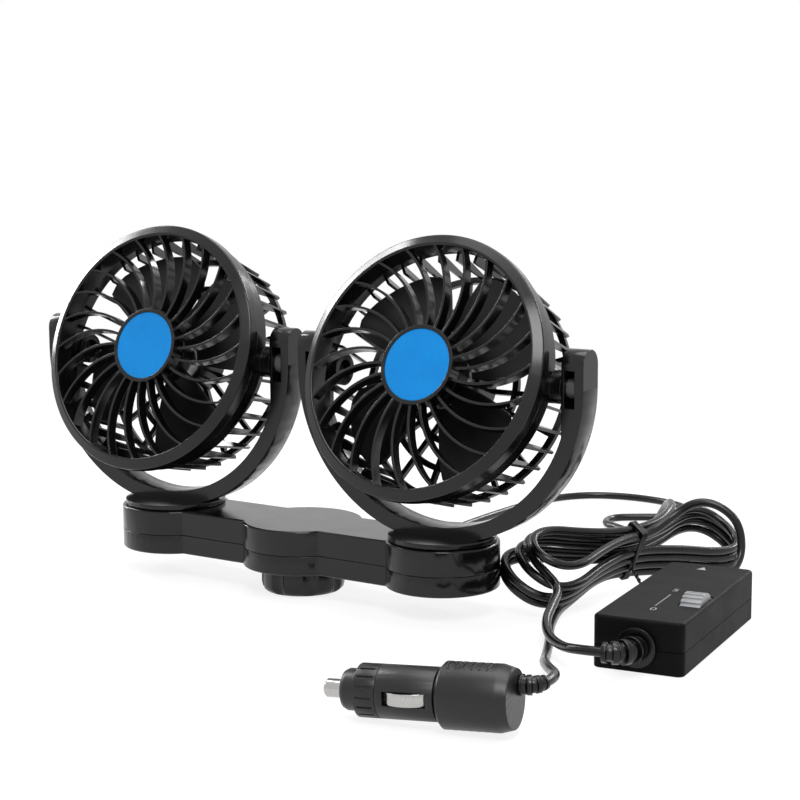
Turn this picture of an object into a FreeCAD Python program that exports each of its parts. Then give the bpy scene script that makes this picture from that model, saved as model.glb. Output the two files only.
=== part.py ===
import FreeCAD, Part
import math
import os
from types import SimpleNamespace

import Sketcher
from FreeCAD import Placement, Rotation, Vector

# Dual head car fan: two tilting fan heads on one clamp base, with a speed box and a vehicle plug.
# Frame: millimetres, +Z up, the fans face -Y, origin on the floor under the clamp knob's axis.

# Driving sizes
SIZES = {
    # where the heads stand
    "head_spacing": 163.4,
    "yoke_gap": 9.8,
    "left_pitch": 18.0,
    "right_pitch": 21.3,
    "left_yaw": 2.4,
    "right_yaw": 1.1,
    # general fits
    "running_fit": 0.05,
    "slip_fit": 0.15,
    "part_gap": 0.3,
    # front grille, measured ahead of the tilt axis
    "ring_clearance": 3.4,
    "ring_face": 5.6,
    "ring_front": 23.2,
    "ring_slope": 2.7,
    "ring_depth": 8.5,
    "ring_skirt": 2.2,
    "ring_flange": 2.0,
    "inner_wall": 1.4,
    "inner_wall_depth": 11.7,
    "ring_edge_round": 0.9,
    "fin_count": 24,
    "fin_thickness": 1.3,
    "fin_depth": 5.6,
    "fin_recess": 1.2,
    "fin_sweep": 19.5,
    "fin_bow": 2.2,
    "hub_radius": 18.7,
    "hub_wall": 1.7,
    "hub_rise": 0.4,
    "hub_floor": 2.0,
    "badge_thickness": 1.6,
    "badge_recess": 0.3,
    # rear cage
    "collar_back": 4.0,
    "louver_count": 36,
    "louver_clearance": 1.2,
    "louver_thickness": 1.4,
    "louver_taper": 3.4,
    "louver_turn": 5.0,
    "cage_back": 27.0,
    "hoop_width": 3.0,
    "hoop_depth": 2.6,
    "hoop_inset": 0.8,
    "rib_count": 18,
    "rib_width": 2.4,
    "middle_hoop_radius": 41.0,
    "inner_hoop_radius": 28.5,
    "motor_cup_wall": 1.8,
    "motor_cup_depth": 17.0,
    "motor_cup_floor": 1.6,
    "lug_radius": 7.6,
    # motor and impeller
    "motor_radius": 13.8,
    "motor_length": 21.0,
    "motor_cap_length": 3.5,
    "shaft_radius": 1.15,
    "blade_clearance": 9.5,
    "impeller_hub_radius": 15.4,
    "impeller_hub_front": 10.6,
    "impeller_wall": 1.8,
    "blade_count": 4,
    "blade_span": 62.0,
    "blade_thickness": 1.5,
    "blade_front": 9.0,
    "blade_back": 6.5,
    # tilt pivots and yokes
    "pin_radius": 4.8,
    "yoke_arm": 7.4,
    "ear_depth": 10.9,
    "foot_overlap": 3.3,
    "ear_rise": 10.6,
    "yoke_depth": 14.0,
    "ear_inner_wall": 1.3,
    "window_width": 5.2,
    "window_height": 16.8,
    "window_back_wall": 2.0,
    "pin_socket_depth": 2.4,
    "foot_radius": 25.5,
    "foot_height": 2.4,
    "spigot_radius": 9.0,
    "spigot_bore": 4.5,
    "spigot_length": 10.0,
    "clip_thickness": 1.4,
    "clip_radius": 13.0,
    "clip_groove": 0.9,
    "lead_radius": 1.0,
    "lead_bend": 4.3,
    # base shells
    "base_under": 13.0,
    "base_split": 22.7,
    "base_top": 34.9,
    "base_wall": 2.2,
    "base_plate": 2.6,
    "boss_radius": 27.2,
    "arm_width": 37.0,
    "lobe_radius": 29.6,
    "base_edge_round": 1.0,
    "seam_gap": 0.3,
    "post_radius": 4.0,
    "post_offset": 46.0,
    "post_spread": 23.0,
    "base_screw_radius": 1.5,
    "base_screw_head": 2.8,
    "base_screw_head_height": 1.6,
    "base_screw_length": 9.0,
    "splice_length": 18.0,
    "splice_width": 10.0,
    "splice_height": 9.0,
    "splice_gap": 4.0,
    # clamp screw under the base
    "stud_radius": 4.0,
    "stud_head_radius": 9.0,
    "stud_head_height": 4.0,
    "stud_end": 2.5,
    "washer_radius": 19.0,
    "washer_thickness": 1.1,
    "knob_radius": 20.5,
    "knob_edge_round": 4.0,
    "flute_count": 8,
    "flute_radius": 5.0,
    "flute_depth": 1.9,
    "nut_across_flats": 13.0,
    "nut_height": 6.5,
    # speed box
    "box_x": 196.2,
    "box_y": 12.8,
    "box_turn": 7.7,
    "box_length": 105.0,
    "box_width": 40.0,
    "box_height": 23.0,
    "box_split": 10.3,
    "box_wall": 2.0,
    "box_corner": 3.2,
    "box_edge_round": 1.5,
    "box_post_radius": 2.8,
    "box_post_inset": 6.2,
    "box_screw_radius": 1.2,
    "box_screw_head": 2.1,
    "box_screw_head_height": 1.2,
    "box_screw_length": 12.0,
    "board_bottom": 5.0,
    "board_thickness": 1.6,
    "board_margin": 9.6,
    "wheel_radius": 11.0,
    "wheel_width": 9.0,
    "wheel_across": 13.0,
    "wheel_along": -14.2,
    "wheel_height": 15.8,
    "wheel_slot_gap": 0.5,
    "wheel_rib_count": 24,
    "wheel_rib_radius": 0.75,
    "axle_radius": 2.0,
    "sensor_length": 12.0,
    "sensor_width": 5.5,
    # strain reliefs
    "boot_flange_radius": 8.6,
    "boot_flange": 2.4,
    "boot_root_radius": 6.2,
    "boot_tip_radius": 4.2,
    "boot_length": 17.0,
    "boot_rib_count": 4,
    "boot_rib_depth": 1.1,
    "boot_bend": 85.0,
    "boot_height": 11.2,
    "boot_neck_radius": 5.0,
    "boot_catch_radius": 6.2,
    "boot_catch": 1.2,
    # plug
    "plug_x": 126.4,
    "plug_y": -153.1,
    "plug_turn": 12.0,
    "plug_dip": 3.0,
    "contact_pin_radius": 3.7,
    "contact_pin_reach": 8.6,
    "contact_pin_flange": 5.2,
    "contact_pin_travel": 3.0,
    "cap_nose_radius": 8.2,
    "cap_nose_length": 6.6,
    "cap_wall": 1.6,
    "barrel_radius": 10.5,
    "collar_length": 9.0,
    "collar_rib_count": 16,
    "barrel_length": 23.8,
    "barrel_neck": 9.4,
    "plug_groove": 1.2,
    "handle_radius": 13.0,
    "handle_length": 23.4,
    "handle_taper": 5.0,
    "handle_end_radius": 11.6,
    "handle_wall": 2.4,
    "grip_rib_count": 6,
    "grip_rib_depth": 1.2,
    "leaf_length": 17.0,
    "leaf_width": 5.0,
    "leaf_thickness": 0.7,
    "leaf_bow": 1.8,
    "leaf_travel": 1.2,
    "fuse_radius": 3.1,
    "fuse_length": 25.0,
    "plug_boot_radius": 4.2,
    "plug_boot_tip": 2.7,
    "plug_boot_length": 9.0,
    "plug_boot_bend": 70.0,
    "plug_boot_side": 6.2,
    "plug_boot_rise": 3.8,
    # cords
    "cord_radius": 2.1,
    "hank_x": 131.0,
    "hank_y": 82.0,
    "hank_turn": 73.0,
    "hank_loops": 4,
    "hank_step": 4.75,
    "hank_waist": 2.5,
    "hank_tilt": 30.0,
    "tie_width": 4.0,
    "tie_thickness": 0.9,
    "grommet_flange": 6.0,
    "grommet_neck": 4.0,
    "grommet_length": 16.0,
    "grommet_height": 18.0,
}

doc = FreeCAD.newDocument("DualHeadCarFan")
sheet = doc.addObject("Spreadsheet::Sheet", "Sizes")
for row, (alias, number) in enumerate(SIZES.items(), start=1):
    sheet.set(f"A{row}", alias)
    sheet.set(f"B{row}", str(number))
    sheet.setAlias(f"B{row}", alias)
doc.recompute()

# Plain numbers of the sheet, for shapes that are worked out in code
n = SimpleNamespace(**{alias: float(sheet.get(alias)) for alias in SIZES})

# The yokes stand side by side with a gap, the heads hang in them, and the yokes stand in their feet
n.yoke_outer = (n.head_spacing - n.yoke_gap) / 2
n.yoke_inner = n.yoke_outer - n.yoke_arm
n.ear_inner = n.yoke_outer - n.ear_depth
n.ring_radius = n.ear_inner - n.ring_clearance
n.impeller_radius = n.ring_radius - n.blade_clearance
n.pivot_height = n.base_top + n.part_gap + n.foot_height + n.yoke_outer - n.foot_overlap

X_AXIS, Y_AXIS, Z_AXIS = Vector(1, 0, 0), Vector(0, 1, 0), Vector(0, 0, 1)
SIDES = {"left": -1, "right": 1}


class Measure:
    """A number of the sheet, or one worked out from it, with the expression that gives it."""

    def __init__(self, number, text):
        self.number = number
        self.text = text

    def __float__(self):
        return self.number

    def __add__(self, other):
        return Measure(self.number + float(other), f"({self.text} + {words(other)})")

    def __radd__(self, other):
        return Measure(float(other) + self.number, f"({words(other)} + {self.text})")

    def __sub__(self, other):
        return Measure(self.number - float(other), f"({self.text} - {words(other)})")

    def __rsub__(self, other):
        return Measure(float(other) - self.number, f"({words(other)} - {self.text})")

    def __mul__(self, other):
        return Measure(self.number * float(other), f"({self.text} * {words(other)})")

    def __truediv__(self, other):
        return Measure(self.number / float(other), f"({self.text} / {words(other)})")


def words(item):
    """The expression of a measure, or of a plain number."""
    return item.text if isinstance(item, Measure) else repr(float(item))


m = SimpleNamespace(**{alias: Measure(getattr(n, alias), f"Sizes.{alias}") for alias in SIZES})

nodes = []


def node(obj, label):
    """Name a finished sub-part, which gives its file the same name."""
    obj.Label = label
    nodes.append(obj)
    return obj


def feature(label, shape, placement=None):
    """A sub-part whose shape is worked out in code, placed after its shape is set."""
    obj = doc.addObject("Part::Feature", f"Shape_{label}")
    obj.Shape = shape
    if placement is not None:
        obj.Placement = placement.multiply(shape.Placement)
    return node(obj, label)


def sketch_polygon(body, name, plane_role, corners):
    """A closed polygon on one of the body's own planes, each corner bound to the sheet."""
    sketch = body.newObject("Sketcher::SketchObject", name)
    plane = next(item for item in body.Origin.OriginFeatures if item.Role == plane_role)
    sketch.AttachmentSupport = [(plane, "")]
    sketch.MapMode = "FlatFace"
    points = [Vector(float(x), float(y), 0) for x, y in corners]
    count = len(points)
    for i in range(count):
        sketch.addGeometry(Part.LineSegment(points[i], points[(i + 1) % count]), False)
    for i in range(count):
        sketch.addConstraint(Sketcher.Constraint("Coincident", i, 2, (i + 1) % count, 1))
    for i, corner in enumerate(corners):
        for kind, item in zip(("DistanceX", "DistanceY"), corner):
            index = sketch.addConstraint(Sketcher.Constraint(kind, -1, 1, i, 1, float(item)))
            if isinstance(item, Measure):
                sketch.setExpression(f"Constraints[{index}]", item.text)
    return sketch


def turned(label, corners, placement=None):
    """A body turned about its own Z axis from a half section of (radius, height) corners."""
    body = doc.addObject("PartDesign::Body", f"Body_{label}")
    sketch = sketch_polygon(body, f"Section_{label}", "XZ_Plane", corners)
    turn = body.newObject("PartDesign::Revolution", f"Turn_{label}")
    turn.Profile = sketch
    turn.ReferenceAxis = (sketch, ["V_Axis"])
    turn.Angle = 360
    body.Tip = turn
    if placement is not None:
        body.Placement = placement
    return body


def cylinder(name, radius, height, base):
    """A bound Part::Cylinder along Z."""
    obj = doc.addObject("Part::Cylinder", name)
    obj.setExpression("Radius", words(radius))
    obj.setExpression("Height", words(height))
    for axis, item in zip("xyz", base):
        obj.setExpression(f"Placement.Base.{axis}", words(item))
    return obj


def block(name, length, width, height, base):
    """A bound Part::Box with its low corner at base."""
    obj = doc.addObject("Part::Box", name)
    for prop, item in (("Length", length), ("Width", width), ("Height", height)):
        obj.setExpression(prop, words(item))
    for axis, item in zip("xyz", base):
        obj.setExpression(f"Placement.Base.{axis}", words(item))
    return obj


def fused(name, shapes):
    """One Part::MultiFuse of several objects."""
    obj = doc.addObject("Part::MultiFuse", name)
    obj.Shapes = shapes
    obj.Refine = True
    return obj


def cut(name, base, tool):
    """One Part::Cut of two objects."""
    obj = doc.addObject("Part::Cut", name)
    obj.Base = base
    obj.Tool = tool
    obj.Refine = True
    return obj


def rounded(name, base, radius, wanted):
    """One Part::Fillet on the edges of base that the test picks."""
    doc.recompute()
    obj = doc.addObject("Part::Fillet", name)
    obj.Base = base
    obj.Edges = [(i, radius, radius) for i, edge in enumerate(base.Shape.Edges, start=1) if wanted(edge)]
    return obj


def tube(inner, outer, low, high):
    """A plain ring along Z."""
    ring = Part.makeCylinder(outer, high - low, Vector(0, 0, low))
    return ring.cut(Part.makeCylinder(inner, high - low, Vector(0, 0, low)))


def spun(corners, angle=360.0):
    """A solid of revolution about Z from a closed list of (radius, height) corners."""
    points = [Vector(radius, 0, height) for radius, height in corners]
    face = Part.Face(Part.makePolygon(points + points[:1]))
    return face.revolve(Vector(0, 0, 0), Z_AXIS, angle)


def eased(before, corner, after, radius, steps=4):
    """The points that round off one corner of a profile, given the corners before and after it."""
    corner = Vector(*corner, 0)
    ways = [(Vector(*point, 0) - corner).normalize() for point in (before, after)]
    half = ways[0].getAngle(ways[1]) / 2
    centre = corner + (ways[0] + ways[1]).normalize() * (radius / math.sin(half))
    start, end = (corner + way * (radius / math.tan(half)) for way in ways)
    points = []
    for step in range(steps + 1):
        spoke = start + (end - start) * (step / steps) - centre
        point = centre + spoke.normalize() * radius
        points.append((point.x, point.y))
    return points


def upright_edge(edge):
    """Whether an edge stands along Z."""
    box = edge.BoundBox
    return box.XLength < 0.01 and box.YLength < 0.01


def polar(radius, degrees, height):
    """A point at a radius and angle about Z."""
    return Vector(radius * math.cos(math.radians(degrees)), radius * math.sin(math.radians(degrees)),
                  height)


def around(shape, count, first=0.0):
    """Copies of a shape in even steps about Z."""
    copies = []
    for i in range(int(count)):
        copy = shape.copy()
        copy.rotate(Vector(0, 0, 0), Z_AXIS, first + 360.0 * i / int(count))
        copies.append(copy)
    return copies


# Where each yoke and each head stands
def yoke_place(side):
    """The yoke's own frame: X across the ears, Z up, origin on the floor under the swivel axis."""
    yaw = n.left_yaw if side < 0 else n.right_yaw
    return Placement(Vector(side * n.head_spacing / 2, 0, 0), Rotation(Z_AXIS, yaw))


def head_place(side):
    """The head's own frame: Z out of the front grille, X along the tilt axis."""
    pitch = n.left_pitch if side < 0 else n.right_pitch
    upright = Placement(Vector(0, 0, n.pivot_height), Rotation(X_AXIS, 90.0 - pitch))
    return yoke_place(side).multiply(upright)


# Front grille
RING_INNER = n.ring_radius - n.ring_face
SKIRT_INNER = n.ring_radius - n.ring_skirt
SLOPE_BACK = n.ring_front - n.ring_slope
FLANGE_BACK = SLOPE_BACK - n.ring_flange
WALL_OUTER = RING_INNER + n.inner_wall
WALL_BACK = n.ring_front - n.inner_wall_depth
FIN_FRONT = n.ring_front - n.fin_recess
FIN_BACK = FIN_FRONT - n.fin_depth
HUB_FRONT = n.ring_front + n.hub_rise
BADGE_SEAT = HUB_FRONT - n.badge_recess - n.badge_thickness


def grille_ring():
    """The channel-shaped rim: a sloping face, an outer skirt and an inner wall that carries the fins."""
    edge = n.ring_edge_round
    inner, outer = (RING_INNER, n.ring_front), (n.ring_radius, SLOPE_BACK)
    skirt = (n.ring_radius, n.ring_front - n.ring_depth)
    ring = spun([(RING_INNER, WALL_BACK), *eased((RING_INNER, WALL_BACK), inner, outer, edge), *eased(inner, outer, skirt, edge),
                 (n.ring_radius, n.ring_front - n.ring_depth), (SKIRT_INNER, n.ring_front - n.ring_depth),
                 (SKIRT_INNER, FLANGE_BACK), (WALL_OUTER, FLANGE_BACK), (WALL_OUTER, WALL_BACK)])
    return ring


def grille_hub():
    """A shallow cup in the middle whose rim stands round the badge."""
    recess = n.hub_radius - n.hub_wall
    seat_back = BADGE_SEAT - n.hub_floor
    return spun([(0, seat_back), (recess, seat_back), (recess, FIN_BACK), (n.hub_radius, FIN_BACK),
                 (n.hub_radius, HUB_FRONT), (recess, HUB_FRONT), (recess, BADGE_SEAT), (0, BADGE_SEAT)])


def grille_fin():
    """One thin swept fin, an arc from the hub to the ring, square to the front."""
    start = n.hub_radius - n.hub_wall / 2
    end = RING_INNER + n.inner_wall / 2
    middle = (start + end) / 2
    half = n.fin_thickness / 2

    def edge_points(shift):
        bow_angle = math.degrees(n.fin_bow / middle)
        angles = (0.0, n.fin_sweep / 2 - bow_angle, n.fin_sweep)
        return [polar(r, a + math.degrees(shift / r), FIN_BACK)
                for r, a in zip((start, middle, end), angles)]

    low, high = edge_points(-half), edge_points(half)
    wire = Part.Wire([Part.Arc(*low).toShape(), Part.LineSegment(low[2], high[2]).toShape(),
                      Part.Arc(*high[::-1]).toShape(), Part.LineSegment(high[0], low[0]).toShape()])
    return Part.Face(wire).extrude(Vector(0, 0, n.fin_depth))


def front_grille():
    fins = around(grille_fin(), n.fin_count)
    return grille_ring().multiFuse([grille_hub()] + fins).removeSplitter()


# Rear cage
CAGE_INNER = WALL_OUTER + n.slip_fit
CAGE_OUTER = SKIRT_INNER - n.slip_fit
LOUVER_INNER = n.impeller_radius + n.louver_clearance
LOUVER_FRONT = (CAGE_INNER + CAGE_OUTER) / 2
LOUVER_BACK = LOUVER_FRONT - n.louver_taper
CUP_INNER = n.motor_radius + n.slip_fit
CUP_OUTER = CUP_INNER + n.motor_cup_wall


def cage_louver():
    """One upright slat that runs back from the collar to past the rear hoop and tapers on the way."""
    front, back = n.collar_back + n.hoop_depth, -n.cage_back
    half = n.louver_thickness / 2
    outline = [Vector(LOUVER_INNER, -half, front), Vector(LOUVER_FRONT, -half, front),
               Vector(LOUVER_BACK, -half, back), Vector(LOUVER_INNER, -half, back)]
    slat = Part.Face(Part.makePolygon(outline + outline[:1])).extrude(Vector(0, n.louver_thickness, 0))
    slat.rotate(Vector(0, 0, front), X_AXIS, n.louver_turn)
    return slat


def rear_cage():
    collar = tube(CAGE_INNER, CAGE_OUTER, n.collar_back, FLANGE_BACK)
    back = -n.cage_back + n.hoop_depth
    hoop_top = back + n.hoop_depth
    rim = LOUVER_BACK - n.hoop_inset
    hoops = [tube(radius - n.hoop_width, radius, back, hoop_top)
             for radius in (rim, n.middle_hoop_radius, n.inner_hoop_radius)]
    rib = Part.makeBox(rim - n.hoop_width / 2 - CUP_INNER - n.motor_cup_wall / 2, n.rib_width, n.hoop_depth,
                       Vector(CUP_INNER + n.motor_cup_wall / 2, -n.rib_width / 2, back))
    cup = tube(CUP_INNER, CUP_OUTER, back, back + n.motor_cup_depth)
    floor = Part.makeCylinder(CUP_OUTER, n.motor_cup_floor, Vector(0, 0, back))
    lug_end = n.ear_inner - n.part_gap
    hole_start = LOUVER_INNER - n.lug_radius
    lugs, holes = [], []
    for side in (-1, 1):
        out = Vector(side, 0, 0)
        lugs.append(Part.makeCylinder(n.lug_radius, lug_end - LOUVER_INNER, out * LOUVER_INNER, out))
        holes.append(Part.makeCylinder(n.pin_radius, lug_end - hole_start, out * hole_start, out))
    louvers = around(cage_louver(), n.louver_count)
    beside_lugs = [slat for i, slat in enumerate(louvers) if 2 * i % len(louvers)]
    cage = collar.multiFuse(beside_lugs + hoops + around(rib, n.rib_count) + [cup, floor] + lugs)
    return cage.cut(Part.Compound(holes)).removeSplitter()


# Motor and impeller
CAN_FRONT = -n.cage_back + n.hoop_depth + n.motor_cup_floor + n.motor_cap_length + n.motor_length
BEARING_FRONT = CAN_FRONT + n.motor_cap_length / 3


def impeller_blade():
    """One wide flat blade, set at an angle to the hub and rounded off at its outer corners."""
    root = n.impeller_hub_radius - n.impeller_wall / 2
    tip = n.impeller_radius
    half_root = root * math.sin(math.radians(n.blade_span / 2))
    half_tip = tip * math.sin(math.radians(n.blade_span / 2))
    middle = (n.blade_front - n.blade_back) / 2
    pitch = math.degrees(math.asin((n.blade_front + n.blade_back) / 2 / half_tip))
    points = [Vector(root * 0.8, -half_root, 0), Vector(tip, -half_tip, 0), Vector(tip, half_tip, 0),
              Vector(root * 0.8, half_root, 0)]
    plate = Part.Face(Part.makePolygon(points + points[:1])).extrude(Vector(0, 0, n.blade_thickness))
    plate.translate(Vector(0, 0, -n.blade_thickness / 2))
    plate = plate.makeFillet(half_tip * 0.4,
                             [e for e in plate.Edges if upright_edge(e) and e.BoundBox.XMin > tip - 1])
    plate.rotate(Vector(0, 0, 0), X_AXIS, pitch)
    plate.translate(Vector(0, 0, middle))
    bound = tube(n.impeller_hub_radius - n.impeller_wall / 2, tip, -n.cage_back, n.ring_front)
    return plate.common(bound)


def impeller():
    front, wall = n.impeller_hub_front, n.impeller_wall
    back = CAN_FRONT + n.part_gap
    boss_back = BEARING_FRONT + n.part_gap
    boss = n.shaft_radius + n.impeller_wall
    hub = spun([(n.shaft_radius, boss_back), (boss, boss_back), (boss, front - wall),
                (n.impeller_hub_radius - wall, front - wall), (n.impeller_hub_radius - wall, back),
                (n.impeller_hub_radius, back), (n.impeller_hub_radius, front), (n.shaft_radius, front)])
    return hub.multiFuse(around(impeller_blade(), n.blade_count, 40.0)).removeSplitter()


# Yokes
SOCKET_END = n.ear_inner + n.ear_inner_wall + n.window_width + n.pin_socket_depth
FOOT_UNDER = n.base_top + n.part_gap
PLATE_UNDER = n.base_top - n.base_plate
LEAD_TRACK = (n.yoke_outer + n.yoke_inner) / 2
LEAD_BACK = n.yoke_depth / 2 + n.lead_radius + n.part_gap
LEAD_FOOT_ANGLE = 73.0
LEAD_EAR_DROP = 5.4


def yoke():
    """A half ring with two upright ears, a foot disc and a hollow spigot."""
    half = n.yoke_depth / 2
    front = Vector(0, -half, n.pivot_height)
    disc = Part.makeCylinder(n.yoke_outer, n.yoke_depth, front, Y_AXIS)
    lower = Part.makeBox(2 * n.yoke_outer, n.yoke_depth, n.yoke_outer,
                         Vector(-n.yoke_outer, -half, n.pivot_height - n.yoke_outer))
    body = disc.common(lower)
    body = body.fuse(Part.makeBox(2 * n.yoke_outer, n.yoke_depth, n.ear_rise,
                                  Vector(-n.yoke_outer, -half, n.pivot_height)))
    body = body.fuse(Part.makeCylinder(half, 2 * n.yoke_outer,
                                       Vector(-n.yoke_outer, 0, n.pivot_height + n.ear_rise), X_AXIS))
    round_gap = Part.makeCylinder(n.yoke_inner, n.yoke_depth, front, Y_AXIS)
    top_gap = Part.makeBox(2 * n.yoke_inner, n.yoke_depth, n.ear_rise + n.yoke_depth,
                           Vector(-n.yoke_inner, -half, n.pivot_height))
    between = Part.makeBox(2 * n.ear_inner, n.yoke_depth, 4 * n.yoke_outer,
                           Vector(-n.ear_inner, -half, n.pivot_height - 2 * n.yoke_outer))
    body = body.cut(round_gap.fuse(top_gap).common(between))
    under = Part.makeBox(2 * n.yoke_outer, 2 * n.yoke_depth, FOOT_UNDER,
                         Vector(-n.yoke_outer, -n.yoke_depth, 0))
    body = body.cut(under)
    foot = Part.makeCylinder(n.foot_radius, n.foot_height, Vector(0, 0, FOOT_UNDER))
    spigot_low = PLATE_UNDER - n.spigot_length
    spigot = Part.makeCylinder(n.spigot_radius, FOOT_UNDER - spigot_low, Vector(0, 0, spigot_low))
    groove_top = PLATE_UNDER - n.slip_fit
    groove = tube(n.spigot_radius - n.clip_groove, n.spigot_radius, groove_top - n.clip_thickness,
                  groove_top)
    bore = Part.makeCylinder(n.spigot_bore, FOOT_UNDER + n.foot_height / 2 - spigot_low, Vector(0, 0,
                                                                                                spigot_low))
    body = body.multiFuse([foot, spigot]).cut(groove).cut(bore)
    for side in (-1, 1):
        body = body.cut(ear_hollow(side))
    lead_hole = lead_wire(n.lead_radius + n.slip_fit)
    return body.cut(lead_hole).removeSplitter()


def ear_hollow(side):
    """The window in an ear and the two bores that the pivot pin turns in."""
    low = n.ear_inner + n.ear_inner_wall
    window = Part.makeBox(n.window_width, n.yoke_depth - n.window_back_wall, n.window_height,
                          Vector(low, -n.yoke_depth / 2, n.pivot_height - n.window_height / 2))
    bore = Part.makeCylinder(n.pin_radius + n.running_fit, SOCKET_END - n.ear_inner,
                             Vector(n.ear_inner, 0, n.pivot_height), X_AXIS)
    shape = window.fuse(bore)
    if side < 0:
        shape = shape.mirror(Vector(0, 0, 0), X_AXIS)
    return shape


def arc_through_corner(start, corner, end):
    """An arc that is tangent to both runs where they meet at a corner."""
    chord = end - start
    middle = (start + end) * 0.5
    cosine = (corner - start).normalize().dot(chord) / chord.Length
    return Part.Arc(start, middle + (corner - middle) * (cosine / (1.0 + cosine)), end)


def lead_wire(radius):
    """The motor's lead: up out of the foot, along the back of the arm and into the ear."""
    centre = Vector(0, LEAD_BACK, n.pivot_height)

    def on_track(degrees):
        return centre + Vector(LEAD_TRACK * math.cos(math.radians(degrees)), 0,
                               LEAD_TRACK * math.sin(math.radians(degrees)))

    foot = on_track(-LEAD_FOOT_ANGLE)
    tangent = Vector(math.sin(math.radians(LEAD_FOOT_ANGLE)), 0, math.cos(math.radians(LEAD_FOOT_ANGLE)))
    low_corner = foot - tangent * n.lead_bend
    low = low_corner - Vector(0, 0, n.lead_bend)
    ear_angle = -math.degrees(math.asin(LEAD_EAR_DROP / LEAD_TRACK)) - 4.0
    ear = on_track(ear_angle)
    up = Vector(-math.sin(math.radians(ear_angle)), 0, math.cos(math.radians(ear_angle)))
    corner = ear + up * n.lead_bend
    inside = corner - Vector(0, n.lead_bend, 0)
    path = Part.Wire([
        arc_through_corner(low, low_corner, foot).toShape(),
        Part.Arc(foot, on_track((ear_angle - LEAD_FOOT_ANGLE) / 2), ear).toShape(),
        arc_through_corner(ear, corner, inside).toShape()])
    return swept(path, radius)


def swept(path, radius):
    """A round tube along a path of lines and arcs, checked against its section times its length."""
    start = path.OrderedEdges[0]
    tangent = start.tangentAt(start.FirstParameter)
    profile = Part.Wire(Part.makeCircle(radius, start.valueAt(start.FirstParameter), tangent))
    solid = path.makePipeShell([profile], True, False)
    expected = math.pi * radius * radius * path.Length
    if abs(solid.Volume - expected) > 0.02 * expected:
        raise ValueError(f"tube volume {solid.Volume:.1f} is not {expected:.1f}")
    return solid


def heads_and_yokes():
    for name, side in SIDES.items():
        head, stand = head_place(side), yoke_place(side)
        feature(f"{name}_front_grille", front_grille(), head)
        badge = turned(f"{name}_hub_badge", [
            (0, m.ring_front + m.hub_rise - m.badge_recess - m.badge_thickness),
            (m.hub_radius - m.hub_wall - m.slip_fit,
             m.ring_front + m.hub_rise - m.badge_recess - m.badge_thickness),
            (m.hub_radius - m.hub_wall - m.slip_fit, m.ring_front + m.hub_rise - m.badge_recess),
            (0, m.ring_front + m.hub_rise - m.badge_recess)], head)
        node(badge, f"{name}_hub_badge")
        feature(f"{name}_rear_cage", rear_cage(), head)
        motor_back = m.hoop_depth - m.cage_back + m.motor_cup_floor
        can_back = motor_back + m.motor_cap_length
        can_front = can_back + m.motor_length
        bearing = m.shaft_radius + m.running_fit
        can = turned(f"{name}_motor_can", [
            (bearing, can_back), (m.motor_radius, can_back), (m.motor_radius, can_front),
            (m.shaft_radius * 4, can_front), (m.shaft_radius * 4, can_front + m.motor_cap_length / 3),
            (bearing, can_front + m.motor_cap_length / 3)], head)
        node(can, f"{name}_motor_can")
        cap = turned(f"{name}_motor_cap", [
            (0, motor_back), (m.motor_radius, motor_back), (m.motor_radius, can_back), (0, can_back)], head)
        node(cap, f"{name}_motor_cap")
        shaft = turned(f"{name}_motor_shaft", [
            (0, can_back + m.part_gap), (m.shaft_radius, can_back + m.part_gap),
            (m.shaft_radius, m.impeller_hub_front + m.part_gap), (0, m.impeller_hub_front + m.part_gap)],
                       head)
        node(shaft, f"{name}_motor_shaft")
        feature(f"{name}_impeller", impeller(), head)
        pins = [Part.makeCylinder(n.pin_radius, SOCKET_END - n.part_gap - CAGE_INNER,
                                  Vector(way * CAGE_INNER, 0, 0), Vector(way, 0, 0)) for way in (-1, 1)]
        feature(f"{name}_pivot_pins", Part.Compound(pins), head)
        feature(f"{name}_yoke", yoke(), stand)
        clip_top = PLATE_UNDER - n.slip_fit
        ring = tube(n.spigot_radius - n.clip_groove, n.clip_radius, clip_top - n.clip_thickness, clip_top)
        gap = Part.makeBox(n.clip_radius * 2, n.spigot_radius, n.clip_thickness * 4,
                           Vector(0, -n.spigot_radius / 2, clip_top - 2 * n.clip_thickness))
        feature(f"{name}_swivel_clip", ring.cut(gap), stand)
        feature(f"{name}_motor_lead", lead_wire(n.lead_radius), stand)


# Base shells and the clamp screw
def base_outline(name, inset, low, high):
    """The base's plan, a bar with a round boss at each end and a round lobe in the middle."""
    half = m.head_spacing / 2
    height = high - low
    pieces = [block(f"{name}_arm", m.head_spacing, m.arm_width - inset * 2, height,
                    (half * -1, (m.arm_width / 2 - inset) * -1, low)),
              cylinder(f"{name}_lobe", m.lobe_radius - inset, height, (0, 0, low)),
              cylinder(f"{name}_left", m.boss_radius - inset, height, (half * -1, 0, low)),
              cylinder(f"{name}_right", m.boss_radius - inset, height, (half, 0, low))]
    return fused(name, pieces)


def base_post_spots():
    """Where the case screws stand: four in the arms and one outside each swivel."""
    half, across = n.head_spacing / 2, n.post_spread / 2
    ends = half + n.boss_radius - n.base_wall - n.post_radius - n.slip_fit
    return [(x, y) for x in (-n.post_offset, n.post_offset) for y in (-across, across)] + [(-ends, 0),
                                                                                           (ends, 0)]


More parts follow.
